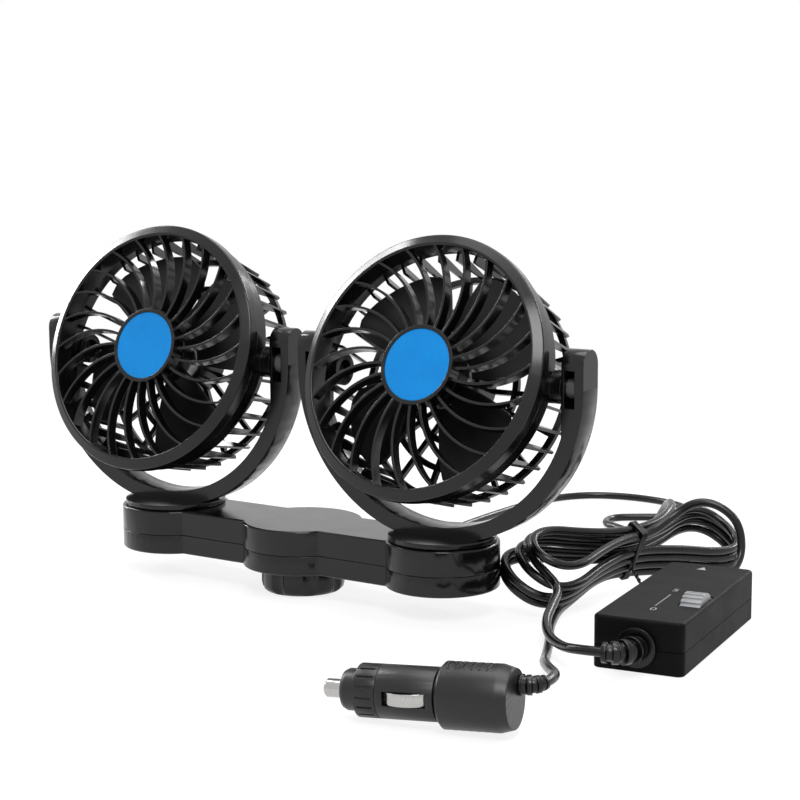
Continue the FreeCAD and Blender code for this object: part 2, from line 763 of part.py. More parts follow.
def base():
    zero = m.slip_fit * 0
    none = m.base_wall * 0
    split_top, split_low = m.base_split + m.seam_gap / 2, m.base_split - m.seam_gap / 2
    upper_skin = base_outline("UpperSkin", none, split_top, m.base_top)
    upper_round = rounded("UpperRound", upper_skin, n.base_edge_round,
                          lambda edge: edge.BoundBox.ZMin > n.base_top - 0.01)
    upper_space = base_outline("UpperSpace", m.base_wall, split_top, m.base_top - m.base_plate)
    upper_shell = cut("UpperShell", upper_round, upper_space)
    half = m.head_spacing / 2
    holes = [cylinder(f"SwivelHole_{name}", m.spigot_radius + m.running_fit, m.base_plate,
                      (half * side, 0, m.base_top - m.base_plate)) for name, side in SIDES.items()]
    upper_open = cut("UpperOpen", upper_shell, fused("SwivelHoles", holes))
    floor_top = m.base_under + m.base_plate
    posts = []
    bores = []
    for i, (x, y) in enumerate(base_post_spots()):
        posts.append(cylinder(f"Post{i}", m.post_radius, m.base_top - m.base_plate - floor_top, (x, y,
                                                                                                 floor_top)))
        bores.append(cylinder(f"PostBore{i}", m.base_screw_radius, m.base_screw_length, (x, y, floor_top)))
    upper_posts = fused("UpperWithPosts", [upper_open] + posts)
    upper_bored = cut("UpperBored", upper_posts, fused("PostBores", bores))
    doc.recompute()
    passage = cord_hole(n.grommet_neck)
    feature("base_upper_shell", upper_bored.Shape.cut(passage))

    lower_skin = base_outline("LowerSkin", none, m.base_under, split_low)
    lower_round = rounded("LowerRound", lower_skin, n.base_edge_round,
                          lambda edge: edge.BoundBox.ZMax < n.base_under + 0.01)
    lower_space = base_outline("LowerSpace", m.base_wall, floor_top, split_low)
    lower_shell = cut("LowerShell", lower_round, lower_space)
    openings = [cylinder("StudHole", m.stud_radius + m.slip_fit, m.base_plate, (zero, 0, m.base_under))]
    for i, (x, y) in enumerate(base_post_spots()):
        openings.append(cylinder(f"ScrewHole{i}", m.base_screw_radius + m.slip_fit, m.base_plate,
                                 (x, y, m.base_under)))
        openings.append(cylinder(f"ScrewSeat{i}", m.base_screw_head + m.slip_fit, m.base_screw_head_height,
                                 (x, y, m.base_under)))
    lower_open = cut("LowerOpen", lower_shell, fused("LowerHoles", openings))
    doc.recompute()
    feature("base_lower_shell", lower_open.Shape.cut(passage))

    screws = []
    for x, y in base_post_spots():
        head = Part.makeCylinder(n.base_screw_head, n.base_screw_head_height - n.slip_fit,
                                 Vector(x, y, n.base_under + n.slip_fit))
        stem = Part.makeCylinder(n.base_screw_radius,
                                 n.base_plate - n.base_screw_head_height + n.base_screw_length - n.slip_fit,
                                 Vector(x, y, n.base_under + n.base_screw_head_height))
        slot = Part.makeBox(n.base_screw_head * 1.4, n.base_screw_radius / 2, n.base_screw_head_height / 2,
                            Vector(x - n.base_screw_head * 0.7, y - n.base_screw_radius / 4, n.base_under))
        cross = slot.copy()
        cross.rotate(Vector(x, y, 0), Z_AXIS, 90)
        screws.append(head.fuse(stem).cut(slot.fuse(cross)))
    feature("base_screws", Part.Compound(screws))

    washer_top = m.base_under - m.running_fit
    knob_top = washer_top - m.washer_thickness
    stud = turned("clamp_stud", [
        (0, m.stud_end), (m.stud_radius, m.stud_end), (m.stud_radius, floor_top),
        (m.stud_head_radius, floor_top), (m.stud_head_radius, floor_top + m.stud_head_height / 2),
        (m.stud_head_radius * 0.6, floor_top + m.stud_head_height), (0, floor_top + m.stud_head_height)])
    node(stud, "clamp_stud")
    washer = turned("clamp_washer", [
        (m.stud_radius + m.slip_fit, knob_top), (m.washer_radius, knob_top),
        (m.washer_radius, washer_top), (m.stud_radius + m.slip_fit, washer_top)])
    node(washer, "clamp_washer")
    clamp_knob()
    splice_x = n.stud_head_radius + n.splice_gap + n.splice_length / 2
    splice = Part.makeBox(n.splice_length, n.splice_width, n.splice_height,
                          Vector(splice_x - n.splice_length / 2, -n.splice_width / 2, float(floor_top)))
    screws = [Part.makeCylinder(n.splice_width / 6, n.splice_height / 3,
                                Vector(splice_x + way * n.splice_length / 4, 0,
                                       float(floor_top) + n.splice_height))
              for way in (-1, 1)]
    feature("wire_splice", splice.multiFuse(screws))


def clamp_knob():
    """The star knob with its pressed-in nut, which turns on the stud."""
    knob_top = m.base_under - m.running_fit - m.washer_thickness - m.running_fit
    edge = m.knob_edge_round
    bore, floor = m.stud_radius + m.slip_fit, m.stud_end - m.part_gap
    corners = [(0, 0), (m.knob_radius - edge, 0), (m.knob_radius - edge * 0.45, edge * 0.13),
               (m.knob_radius - edge * 0.13, edge * 0.45), (m.knob_radius, edge), (m.knob_radius, knob_top),
               (bore, knob_top), (bore, floor), (0, floor)]
    body = turned("clamp_knob", corners)
    flute = sketch_circle(body, "FluteOutline", m.knob_radius + m.flute_radius - m.flute_depth,
                          m.flute_radius)
    pocket = body.newObject("PartDesign::Pocket", "Flute")
    pocket.Profile = flute
    pocket.Type = "ThroughAll"
    pocket.Reversed = True
    pattern = body.newObject("PartDesign::PolarPattern", "Flutes")
    pattern.Originals = [pocket]
    pattern.Axis = (next(f for f in body.Origin.OriginFeatures if f.Role == "Z_Axis"), [""])
    pattern.Angle = 360
    pattern.setExpression("Occurrences", "Sizes.flute_count")
    body.Tip = pattern
    doc.recompute()
    nut_low = float(knob_top) - n.nut_height - n.part_gap
    socket = hexagon(n.nut_across_flats, nut_low, float(knob_top))
    feature("clamp_knob", body.Shape.cut(socket))
    nut = hexagon(n.nut_across_flats, nut_low, nut_low + n.nut_height)
    thread = Part.makeCylinder(n.stud_radius + n.running_fit, n.nut_height, Vector(0, 0, nut_low))
    feature("clamp_nut", nut.cut(thread))


def sketch_circle(body, name, away, radius):
    """A circle on the XY plane, off the axis by a bound distance."""
    sketch = body.newObject("Sketcher::SketchObject", name)
    plane = next(item for item in body.Origin.OriginFeatures if item.Role == "XY_Plane")
    sketch.AttachmentSupport = [(plane, "")]
    sketch.MapMode = "FlatFace"
    sketch.addGeometry(Part.Circle(Vector(float(away), 0, 0), Z_AXIS, float(radius)), False)
    index = sketch.addConstraint(Sketcher.Constraint("DistanceX", -1, 1, 0, 3, float(away)))
    sketch.setExpression(f"Constraints[{index}]", words(away))
    sketch.addConstraint(Sketcher.Constraint("PointOnObject", 0, 3, -1))
    index = sketch.addConstraint(Sketcher.Constraint("Radius", 0, float(radius)))
    sketch.setExpression(f"Constraints[{index}]", words(radius))
    return sketch


def hexagon(across_flats, low, high):
    """A hexagonal prism along Z."""
    corner = across_flats / math.sqrt(3)
    points = [polar(corner, 60 * i, low) for i in range(6)]
    return Part.Face(Part.makePolygon(points + points[:1])).extrude(Vector(0, 0, high - low))


def cord_hole(radius):
    """The hole in the base's rear lobe that the grommet sits in, half in each shell."""
    return Part.makeCylinder(radius, 4 * n.base_wall, Vector(0, n.lobe_radius - 3 * n.base_wall,
                                                             n.grommet_height),
                             Y_AXIS)


def boot(flange_radius, flange, root, tip, length, ribs, rib_depth, bend):
    """A ribbed strain relief along +Z that bends by an angle towards -X, and the place of its tip."""
    pieces = [Part.makeCylinder(flange_radius, flange, Vector(0, 0, 0))]
    steps = 2 * int(ribs)
    step = length / steps
    place = Placement(Vector(0, 0, flange), Rotation())
    for i in range(steps):
        share = i / steps
        outer = root + (tip - root) * share
        if i % 2 == 0:
            outer -= rib_depth
        last = i == steps - 1
        piece = Part.makeCylinder(outer, step if last else step * 1.25)
        piece.Placement = place
        pieces.append(piece)
        turn = Rotation() if last else Rotation(Y_AXIS, -bend / (steps - 1))
        place = place.multiply(Placement(Vector(0, 0, step), turn))
    shape = pieces[0].multiFuse(pieces[1:]).removeSplitter()
    return shape, place


# Speed box, in its own frame: X across, Y along, Z up
BOX_PLACE = Placement(Vector(n.box_x, n.box_y, 0), Rotation(Z_AXIS, n.box_turn))
NEAR_BOOT_TURN = Rotation(X_AXIS, 90)
FAR_BOOT_TURN = Rotation(X_AXIS, -90)


def box_block(name, inset, low, high):
    """A block of the box's plan, smaller all round by an inset."""
    return block(name, m.box_width - inset * 2, m.box_length - inset * 2, high - low,
                 ((m.box_width / 2 - inset) * -1, (m.box_length / 2 - inset) * -1, low))


def box_corner_spots(inset):
    """The four spots at one inset from the box's corners."""
    across, along = n.box_width / 2 - inset, n.box_length / 2 - inset
    return [(x, y) for x in (-across, across) for y in (-along, along)]


def speed_box():
    none = m.box_wall * 0
    split_low, split_top = m.box_split - m.seam_gap / 2, m.box_split + m.seam_gap / 2
    plate_under = m.box_height - m.box_wall
    necks = [Part.makeCylinder(n.boot_neck_radius + n.slip_fit, 2 * n.box_wall,
                               Vector(0, way * (n.box_length / 2 - n.box_wall * 1.5), n.boot_height),
                               Vector(0, way, 0)) for way in (-1, 1)]

    lower = rounded("BoxLowerSides", box_block("BoxLowerBlock", none, none, split_low), n.box_corner,
                    upright_edge)
    lower = rounded("BoxLowerRound", lower, n.box_edge_round / 2, lambda edge: edge.BoundBox.ZMax < 0.01)
    lower = cut("BoxLowerHollow", lower, box_block("BoxLowerSpace", m.box_wall, m.box_wall, split_low))
    posts = [cylinder(f"BoxLowerPost{i}", m.box_post_radius, split_low - m.box_wall, (x, y, m.box_wall))
             for i, (x, y) in enumerate(box_corner_spots(n.box_post_inset))]
    rests = [cylinder(f"BoardRest{i}", m.box_post_radius - m.part_gap, m.board_bottom - m.box_wall,
                      (x * 0.32 - n.wheel_width / 2, y * 0.8, m.box_wall))
             for i, (x, y) in enumerate(box_corner_spots(n.box_post_inset))]
    holes = [cylinder(f"BoxHole{i}", m.box_screw_radius + m.slip_fit, split_low, (x, y, 0))
             for i, (x, y) in enumerate(box_corner_spots(n.box_post_inset))]
    seats = [cylinder(f"BoxSeat{i}", m.box_screw_head + m.slip_fit, m.box_screw_head_height, (x, y, 0))
             for i, (x, y) in enumerate(box_corner_spots(n.box_post_inset))]
    lower = cut("BoxLowerOpen", fused("BoxLowerPosts", [lower] + posts + rests), fused("BoxLowerHoles",
                                                                                       holes + seats))
    doc.recompute()
    feature("box_lower_shell", lower.Shape.cut(Part.Compound(necks)), BOX_PLACE)

    upper = rounded("BoxUpperSides", box_block("BoxUpperBlock", none, split_top, m.box_height),
                    n.box_corner, upright_edge)
    upper = rounded("BoxUpperRound", upper, n.box_edge_round,
                    lambda edge: edge.BoundBox.ZMin > n.box_height - 0.01)
    upper = cut("BoxUpperHollow", upper, box_block("BoxUpperSpace", m.box_wall, split_top, plate_under))
    pillars = [cylinder(f"BoxUpperPost{i}", m.box_post_radius, plate_under - split_top, (x, y, split_top))
               for i, (x, y) in enumerate(box_corner_spots(n.box_post_inset))]
    bores = [cylinder(f"BoxBore{i}", m.box_screw_radius,
                      m.box_screw_length - m.box_split + m.box_screw_head_height,
                      (x, y, split_top)) for i, (x, y) in enumerate(box_corner_spots(n.box_post_inset))]
    upper = cut("BoxUpperBored", fused("BoxUpperPosts", [upper] + pillars), fused("BoxUpperBores", bores))
    doc.recompute()
    reach = n.box_height - n.box_wall - n.wheel_height
    slot_half = math.sqrt(n.wheel_radius ** 2 - reach ** 2) + n.wheel_slot_gap
    slot_width = n.wheel_width + 2 * n.wheel_slot_gap
    slot = Part.makeBox(slot_width, 2 * slot_half, 2 * n.box_wall,
                        Vector(n.wheel_across - slot_width / 2, n.wheel_along - slot_half,
                               n.box_height - 1.5 * n.box_wall))
    feature("box_upper_shell", upper.Shape.cut(Part.Compound(necks)).cut(slot), BOX_PLACE)

    screws = []
    for x, y in box_corner_spots(n.box_post_inset):
        head = Part.makeCylinder(n.box_screw_head, n.box_screw_head_height - n.slip_fit, Vector(x, y,
                                                                                                n.slip_fit))
        stem = Part.makeCylinder(n.box_screw_radius, n.box_screw_length, Vector(x, y,
                                                                                n.box_screw_head_height))
        slot = Part.makeBox(n.box_screw_head * 1.4, n.box_screw_radius / 2, n.box_screw_head_height / 2,
                            Vector(x - n.box_screw_head * 0.7, y - n.box_screw_radius / 4, 0))
        screws.append(head.fuse(stem).cut(slot))
    feature("box_screws", Part.Compound(screws), BOX_PLACE)
    box_inside()
    for name, way, turn, bend in (("near", -1, NEAR_BOOT_TURN, n.boot_bend), ("far", 1, FAR_BOOT_TURN,
                                                                              0.0)):
        shape, tip = boot(n.boot_flange_radius, n.boot_flange, n.boot_root_radius, n.boot_tip_radius,
                          n.boot_length, n.boot_rib_count, n.boot_rib_depth, bend)
        neck = Part.makeCylinder(n.boot_neck_radius, n.box_wall, Vector(0, 0, -n.box_wall))
        catch_low = -n.box_wall - n.slip_fit - n.boot_catch
        neck = neck.fuse(Part.makeCylinder(n.boot_neck_radius, n.slip_fit, Vector(0, 0,
                                                                                  -n.box_wall - n.slip_fit)))
        catch = Part.makeCylinder(n.boot_catch_radius, n.boot_catch, Vector(0, 0, catch_low))
        place = BOX_PLACE.multiply(Placement(Vector(0, way * n.box_length / 2, n.boot_height), turn))
        feature(f"box_{name}_boot", shape.multiFuse([neck, catch]).removeSplitter(), place)
        boot_tips[f"box_{name}"] = place.multiply(tip)


def box_inside():
    """The circuit board, the speed wheel with its axle and the sensor that the axle turns in."""
    board_top = n.board_bottom + n.board_thickness
    low_x = -(n.box_width / 2 - n.box_wall - 2 * n.slip_fit)
    high_x = n.wheel_across - n.wheel_width / 2 - 2 * n.wheel_slot_gap
    half = n.box_length / 2 - n.board_margin
    board = Part.makeBox(high_x - low_x, 2 * half, n.board_thickness, Vector(low_x, -half, n.board_bottom))
    room = n.box_height - n.box_wall - board_top
    tall = Part.makeCylinder(room * 0.3, room * 0.8, Vector(low_x / 2, half * 0.6, board_top))
    chip = Part.makeBox(room * 0.6, room * 0.9, room * 0.4, Vector(low_x / 2, 0, board_top))
    feature("circuit_board", board.multiFuse([tall, chip]), BOX_PLACE)

    rim = Part.makeCylinder(n.wheel_radius, n.wheel_width, Vector(0, 0, -n.wheel_width / 2))
    groove = Part.makeCylinder(n.wheel_rib_radius, n.wheel_width, Vector(n.wheel_radius, 0,
                                                                         -n.wheel_width / 2))
    hole = Part.makeCylinder(n.axle_radius, n.wheel_width, Vector(0, 0, -n.wheel_width / 2))
    wheel = rim.cut(Part.Compound(around(groove, n.wheel_rib_count))).cut(hole)
    hub = Placement(Vector(n.wheel_across, n.wheel_along, n.wheel_height), Rotation(Y_AXIS, 90))
    feature("speed_wheel", wheel, BOX_PLACE.multiply(hub))
    sensor_face = -n.wheel_width / 2 - n.part_gap
    axle_low = sensor_face - n.sensor_width
    axle = Part.makeCylinder(n.axle_radius, n.wheel_width / 2 - axle_low, Vector(0, 0, axle_low))
    feature("wheel_axle", axle, BOX_PLACE.multiply(hub))
    right = n.wheel_across + sensor_face
    block_high = n.wheel_height + 2 * n.axle_radius
    sensor = Part.makeBox(n.sensor_width, n.sensor_length, block_high - board_top,
                          Vector(right - n.sensor_width, n.wheel_along - n.sensor_length / 2, board_top))
    bore = Part.makeCylinder(n.axle_radius + n.running_fit, n.sensor_width,
                             Vector(right - n.sensor_width, n.wheel_along, n.wheel_height), X_AXIS)
    feature("speed_sensor", sensor.cut(bore), BOX_PLACE)


# Plug, in its own frame: Z from the tip to the rear, X to the side away from the camera, Y up
def plug_frame():
    turn, dip = math.radians(n.plug_turn), math.radians(n.plug_dip)
    along = Vector(math.cos(turn) * math.cos(dip), math.sin(turn) * math.cos(dip), math.sin(dip))
    side = Vector(-math.sin(turn), math.cos(turn), 0)
    height = (n.handle_radius - HANDLE_START * math.sin(dip)) / math.cos(dip)
    rise = max(height, (n.barrel_radius * math.cos(dip) - COLLAR_START * math.sin(dip)))
    return Placement(Vector(n.plug_x, n.plug_y, rise), Rotation(side, along.cross(side), along, "ZXY"))


NOSE_START = n.contact_pin_reach
COLLAR_START = NOSE_START + n.cap_nose_length
BARREL_START = COLLAR_START + n.collar_length
BARREL_END = BARREL_START + n.barrel_length
HANDLE_START = BARREL_END + n.plug_groove
HANDLE_CONE = HANDLE_START + n.handle_length
PLUG_END = HANDLE_CONE + n.handle_taper


def plug():
    place = plug_frame()
    nose = m.contact_pin_reach
    collar = nose + m.cap_nose_length
    barrel = collar + m.collar_length
    barrel_end = barrel + m.barrel_length
    handle = barrel_end + m.plug_groove
    pin_hole = m.contact_pin_radius + m.running_fit
    room = m.contact_pin_flange + m.part_gap
    flange = nose + m.cap_wall + m.slip_fit
    flange_back = flange + m.cap_wall
    pin = turned("plug_pin", [
        (0, 0), (m.contact_pin_radius * 0.8, 0), (m.contact_pin_radius, m.contact_pin_reach / 10),
        (m.contact_pin_radius, flange), (m.contact_pin_flange, flange), (m.contact_pin_flange, flange_back),
        (0, flange_back)], place)
    node(pin, "plug_pin")
    cap = turned("plug_cap", [
        (pin_hole, nose), (m.cap_nose_radius * 0.9, nose), (m.cap_nose_radius,
                                                            nose + m.cap_nose_length / 4),
        (m.cap_nose_radius, collar), (m.barrel_radius, collar), (m.barrel_radius, barrel), (room, barrel),
        (room, nose + m.cap_wall), (pin_hole, nose + m.cap_wall)])
    doc.recompute()
    notch = Part.makeBox(m.cap_wall.number, n.cap_wall / 2, n.collar_length * 0.7,
                         Vector(n.barrel_radius - n.cap_wall / 3, -n.cap_wall / 4,
                                COLLAR_START + n.collar_length * 0.15))
    feature("plug_cap", cap.Shape.cut(Part.Compound(around(notch, n.collar_rib_count))), place)

    fuse_room = m.fuse_radius + m.slip_fit
    body = turned("plug_barrel", [
        (fuse_room, barrel), (m.barrel_radius, barrel), (m.barrel_radius, barrel_end), (m.barrel_neck,
                                                                                        barrel_end),
        (m.barrel_neck, handle + m.handle_wall), (fuse_room, handle + m.handle_wall)])
    doc.recompute()
    leaf_middle = (BARREL_START + BARREL_END) / 2
    pocket_deep = n.barrel_radius - n.leaf_bow - n.leaf_thickness - n.leaf_travel - n.part_gap
    pocket_long, pocket_wide = n.leaf_length + 2 * n.part_gap, n.leaf_width + 2 * n.part_gap
    pockets = [Part.makeBox(n.barrel_radius, pocket_wide, pocket_long,
                            Vector(pocket_deep if way > 0 else -pocket_deep - n.barrel_radius,
                                   -pocket_wide / 2,
                                   leaf_middle - pocket_long / 2)) for way in (-1, 1)]
    feature("plug_barrel", body.Shape.cut(Part.Compound(pockets)), place)
    for name, way in (("far", 1), ("near", -1)):
        feature(f"plug_contact_{name}", leaf(way, leaf_middle), place)
    fuse_end = HANDLE_START + n.handle_wall - n.part_gap
    fuse_room_start = float(flange_back) + n.contact_pin_travel + n.part_gap
    fuse_length = min(n.fuse_length, fuse_end - fuse_room_start)
    fuse_start = fuse_end - fuse_length
    fuse = Part.makeCylinder(n.fuse_radius * 0.9, fuse_length, Vector(0, 0, fuse_start))
    ends = [Part.makeCylinder(n.fuse_radius, fuse_length / 5, Vector(0, 0,
                                                                     fuse_start + at * fuse_length * 0.8))
            for at in (0, 1)]
    feature("plug_fuse", fuse.multiFuse(ends).removeSplitter(), place)

    wall = m.handle_wall
    cone = handle + m.handle_length
    rear = cone + m.handle_taper
    grip = turned("plug_handle", [
        (m.barrel_neck, handle), (m.handle_radius - m.grip_rib_depth, handle), (m.handle_radius,
                                                                                handle + m.grip_rib_depth),
        (m.handle_radius, cone), (m.handle_end_radius, rear), (0, rear), (0, rear - wall),
        (m.handle_end_radius - wall, rear - wall), (m.handle_radius - wall, cone), (m.handle_radius - wall,
                                                                                    handle + wall),
        (m.barrel_neck, handle + wall)])
    doc.recompute()
    step = n.handle_length * 0.8 / n.grip_rib_count
    grooves = []
    for i in range(int(n.grip_rib_count)):
        for way in (0, 1):
            groove = Part.makeBox(2 * n.handle_radius, n.grip_rib_depth * 2, step * 0.5,
                                  Vector(-n.handle_radius, n.handle_radius - n.grip_rib_depth,
                                         HANDLE_START + n.handle_length * 0.12 + i * step))
            groove.rotate(Vector(0, 0, 0), Z_AXIS, 180 * way)
            grooves.append(groove)
    exit_hole = Part.makeCylinder(n.plug_boot_tip, 2 * n.handle_wall,
                                  Vector(n.plug_boot_side, n.plug_boot_rise,
                                         PLUG_END - 1.5 * n.handle_wall))
    feature("plug_handle", grip.Shape.cut(Part.Compound(grooves)).cut(exit_hole), place)
    shape, tip = boot(n.plug_boot_radius, n.boot_catch, n.plug_boot_radius, n.plug_boot_tip,
                      n.plug_boot_length,
                      n.boot_rib_count - 1, n.boot_rib_depth / 2, -n.plug_boot_bend)
    stem = Part.makeCylinder(n.plug_boot_tip, n.handle_wall, Vector(0, 0, -n.handle_wall))
    spot = place.multiply(Placement(Vector(n.plug_boot_side, n.plug_boot_rise, PLUG_END), Rotation()))
    feature("plug_boot", shape.fuse(stem).removeSplitter(), spot)
    boot_tips["plug"] = spot.multiply(tip)


def leaf(way, middle):
    """One bowed side contact, an even strip that stands proud of the barrel."""
    half = n.leaf_length / 2
    rest = n.barrel_radius - n.leaf_bow
    crown = n.barrel_radius + n.leaf_bow / 2
    low = [Vector(rest - n.leaf_thickness, 0, middle - half), Vector(crown - n.leaf_thickness, 0, middle),
           Vector(rest - n.leaf_thickness, 0, middle + half)]
    high = [point + Vector(n.leaf_thickness, 0, 0) for point in low]
    wire = Part.Wire([Part.Arc(*low).toShape(), Part.LineSegment(low[2], high[2]).toShape(),
                      Part.Arc(*high[::-1]).toShape(), Part.LineSegment(high[0], low[0]).toShape()])
    strip = Part.Face(wire).extrude(Vector(0, n.leaf_width, 0))
    strip.translate(Vector(0, -n.leaf_width / 2, 0))
    if way < 0:
        strip.rotate(Vector(0, 0, 0), Z_AXIS, 180)
    return strip


# Cords
HANK = Placement(Vector(n.hank_x, n.hank_y, 0),
                 Rotation(Z_AXIS, n.hank_turn).multiply(Rotation(X_AXIS, n.hank_tilt)))
HANK_ALONG = HANK.Rotation.multVec(X_AXIS)
HANK_ACROSS = HANK.Rotation.multVec(-Y_AXIS)
FLOOR = n.cord_radius + 0.05
LOOP_REACH = ((66, 70), (68, 73), (72, 71), (71, 74))
LOOP_BULGE = (20, 21, 24, 26)
boot_tips = {}


def on_hank(along, across, height):
    """A point of the hank's own frame, whose middle is the waist and which leans to the near side."""
    return HANK.multVec(Vector(along, -across, height))


def by_hank(along, across, height):
    """A point given along and across the hank on the table, and its height over the table."""
    return Vector(n.hank_x, n.hank_y, height) + Rotation(Z_AXIS, n.hank_turn).multVec(Vector(along, -across, 0))


def level(k):
    """The height of the hank's layer k, the lowest one lying on the tie."""
    return n.cord_radius + n.tie_thickness + n.slip_fit + k * n.hank_step


def biarc(start, leave, end, arrive, first):
    """Two arcs from one point and direction to another, tangent where they meet."""
    run = end - start
    second = (run.dot(run) / 2 - first * run.dot(leave)) / (run.dot(arrive) + first * (1 - leave.dot(arrive)))
    low, high = start + leave * first, end - arrive * second
    joint = low + (high - low) * (first / (first + second))
    return [arc_through_corner(start, low, joint).toShape(), arc_through_corner(joint, high, end).toShape()]


def rounded_path(points):
    """A wire through the runs of a list of points, each corner an arc."""
    edges = []
    at = points[0]
    least = 1e9
    for before, corner, after in zip(points, points[1:], points[2:]):
        into, out = corner - before, after - corner
        reach = 0.45 * min(into.Length, out.Length)
        turn = into.getAngle(out)
        start = corner - into.normalize() * reach
        end = corner + out.normalize() * reach
        edges.append(Part.LineSegment(at, start).toShape())
        edges.append(arc_through_corner(start, corner, end).toShape())
        least = min(least, reach / math.tan(turn / 2))
        at = end
    edges.append(Part.LineSegment(at, points[-1]).toShape())
    return Part.Wire(edges), least


def hank_path():
    """The loops of the hank in one wire, each a layer lower than the one before on its far right run."""
    loops = int(n.hank_loops)
    waist = n.hank_waist
    left, right = -HANK_ACROSS, HANK_ACROSS
    onward, backward = HANK_ALONG, -HANK_ALONG
    stub = 2 * n.cord_radius
    tip = on_hank(-LOOP_REACH[0][0], 0, level(loops))
    edges = [Part.LineSegment(tip + right * stub, tip).toShape()]
    for i in range(loops):
        high, low = level(loops - i), level(loops - i - 1)
        reach_left, reach_right = LOOP_REACH[i % len(LOOP_REACH)]
        bulge = LOOP_BULGE[i % len(LOOP_BULGE)]
        tip = on_hank(-reach_left, 0, high)
        far = on_hank(0, -waist, high)
        turn = on_hank(reach_right, 0, low)
        near = on_hank(0, waist, low)
        edges += biarc(tip, left, far, onward, bulge)
        edges += biarc(far, onward, turn, right, 34 - bulge / 3)
        edges += biarc(turn, right, near, backward, bulge)
        if i + 1 < loops:
            after = on_hank(-LOOP_REACH[(i + 1) % len(LOOP_REACH)][0], 0, low)
            edges += biarc(near, backward, after, left, 34 - bulge / 3)
    edges.append(Part.LineSegment(near, near + backward * stub).toShape())
    return Part.Wire(edges)


def least_self_gap(path, radius):
    """The least clear gap between stretches of one tube that are over ten diameters apart along it."""
    spacing = radius
    points = path.discretize(Distance=spacing)
    skip = int(20 * radius / spacing)
    nearest = min(point.distanceToPoint(other)
                  for i, point in enumerate(points) for other in points[i + skip:])
    return nearest - 2 * radius


def cords():
    loops = int(n.hank_loops)
    stub = 2 * n.cord_radius
    HANK.Base = HANK.Base + Z_AXIS * (FLOOR - hank_path().BoundBox.ZMin)
    hank = hank_path()
    print("hank rests at", round(HANK.Base.z, 2))
    feature("cord_hank", swept(hank, n.cord_radius))

    tip = boot_tips["box_near"]
    out = tip.Rotation.multVec(Z_AXIS)
    top = level(loops)
    reach = LOOP_REACH[0][0]
    near_points = [tip.Base, tip.Base + out * 12]
    near_points += [Vector(*spot) for spot in ((171, -46, 8), (158, -34, 7.5), (149, -21, 10), (144, -6, 13))]
    near_points += [on_hank(-reach, 20, top), on_hank(-reach, stub, top)]
    tip = boot_tips["plug"]
    out = tip.Rotation.multVec(Z_AXIS)
    low = level(0)
    waist = n.hank_waist
    plug_points = [on_hank(-stub, waist, low), on_hank(-18, waist, low), by_hank(-40, 8, FLOOR),
                   by_hank(-58, 18, FLOOR), by_hank(-80, 36, FLOOR)]
    plug_points += [Vector(*spot) for spot in ((152, -22, FLOOR), (165.5, -50, 2.6), (180, -76.5, 10.5),
                                               (193, -97, 15.5))]
    plug_points += [tip.Base + out * 9, tip.Base]
    over = level(loops + 1)
    far_tip = boot_tips["box_far"]
    far_out = far_tip.Rotation.multVec(Z_AXIS)
    start = boot_tips["base"].Base
    on_table = ((-2, 118), (-5, 160), (-5, 205), (-2, 245), (12, 270), (36, 279), (62, 277), (82, 267),
                (88, 250), (80, 236), (70, 230), (56, 220), (59, 204), (74, 197), (87, 188))
    up_hank = ((78, -52, 7), (64, -33, 21))
    round_hank = ((34, -10), (12, -waist), (-12, -waist), (-31, -7), (-48, -13), (-61, -11), (-67, 0),
                  (-61, 11), (-48, 13), (-31, 7), (-12, waist), (8, waist))
    to_box = ((154, 97, 37), (163, 102, 44), (174, 105, 43), (184, 107, 35))
    fan_points = [start, start + Vector(0, 16, 0), Vector(1, 84, 8)]
    fan_points += [Vector(x, y, FLOOR) for x, y in on_table]
    fan_points += [by_hank(*spot) for spot in up_hank] + [on_hank(49, -24, 20)]
    fan_points += [on_hank(along, across, over) for along, across in round_hank]
    fan_points += [Vector(*spot) for spot in to_box]
    fan_points += [far_tip.Base + far_out * 22 + Vector(3, 0, 8.5), far_tip.Base + far_out * 11, far_tip.Base]
    for label, points in (("box_cord", near_points), ("plug_cord", plug_points), ("fan_cord", fan_points)):
        path, least = rounded_path(points)
        print(label, "length", round(path.Length), "least bend radius", round(least, 1))
        feature(label, swept(path, n.cord_radius))
    print("hank length", round(hank.Length), "least self gap", round(least_self_gap(hank, n.cord_radius), 2))

    inner = n.hank_waist + n.cord_radius + n.slip_fit
    inner_top = level(loops + 1) + n.cord_radius + n.slip_fit
    outer = Part.makeBox(n.tie_width, 2 * (inner + n.tie_thickness), inner_top + n.tie_thickness,
                         Vector(-n.tie_width / 2, -inner - n.tie_thickness, 0))
    space = Part.makeBox(n.tie_width, 2 * inner, inner_top - n.tie_thickness, Vector(-n.tie_width / 2,
                                                                                     -inner,
                                                                                     n.tie_thickness))
    run_edges = [e for e in outer.Edges if e.BoundBox.XLength > n.tie_width / 2]
    band = outer.makeFillet(n.tie_thickness * 2, run_edges)
    hole = space.makeFillet(n.tie_thickness,
                            [e for e in space.Edges if e.BoundBox.XLength > n.tie_width / 2])
    feature("cord_tie", band.cut(hole), HANK)


def cord_grommet():
    """The ribbed relief where the fan's cord leaves the base."""
    shape, tip = boot(n.grommet_flange, n.boot_catch, n.grommet_neck + n.boot_rib_depth,
                      n.cord_radius + n.boot_rib_depth,
                      n.grommet_length - n.boot_catch, n.boot_rib_count, n.boot_rib_depth / 2, 0.0)
    neck_length = 2 * n.base_wall
    neck = Part.makeCylinder(n.grommet_neck, neck_length, Vector(0, 0, -neck_length))
    place = Placement(Vector(0, n.lobe_radius, n.grommet_height), FAR_BOOT_TURN)
    feature("cord_grommet", shape.fuse(neck).removeSplitter(), place)
    boot_tips["base"] = place.multiply(tip)


doc.recompute()
heads_and_yokes()
base()
speed_box()
plug()
cord_grommet()
cords()

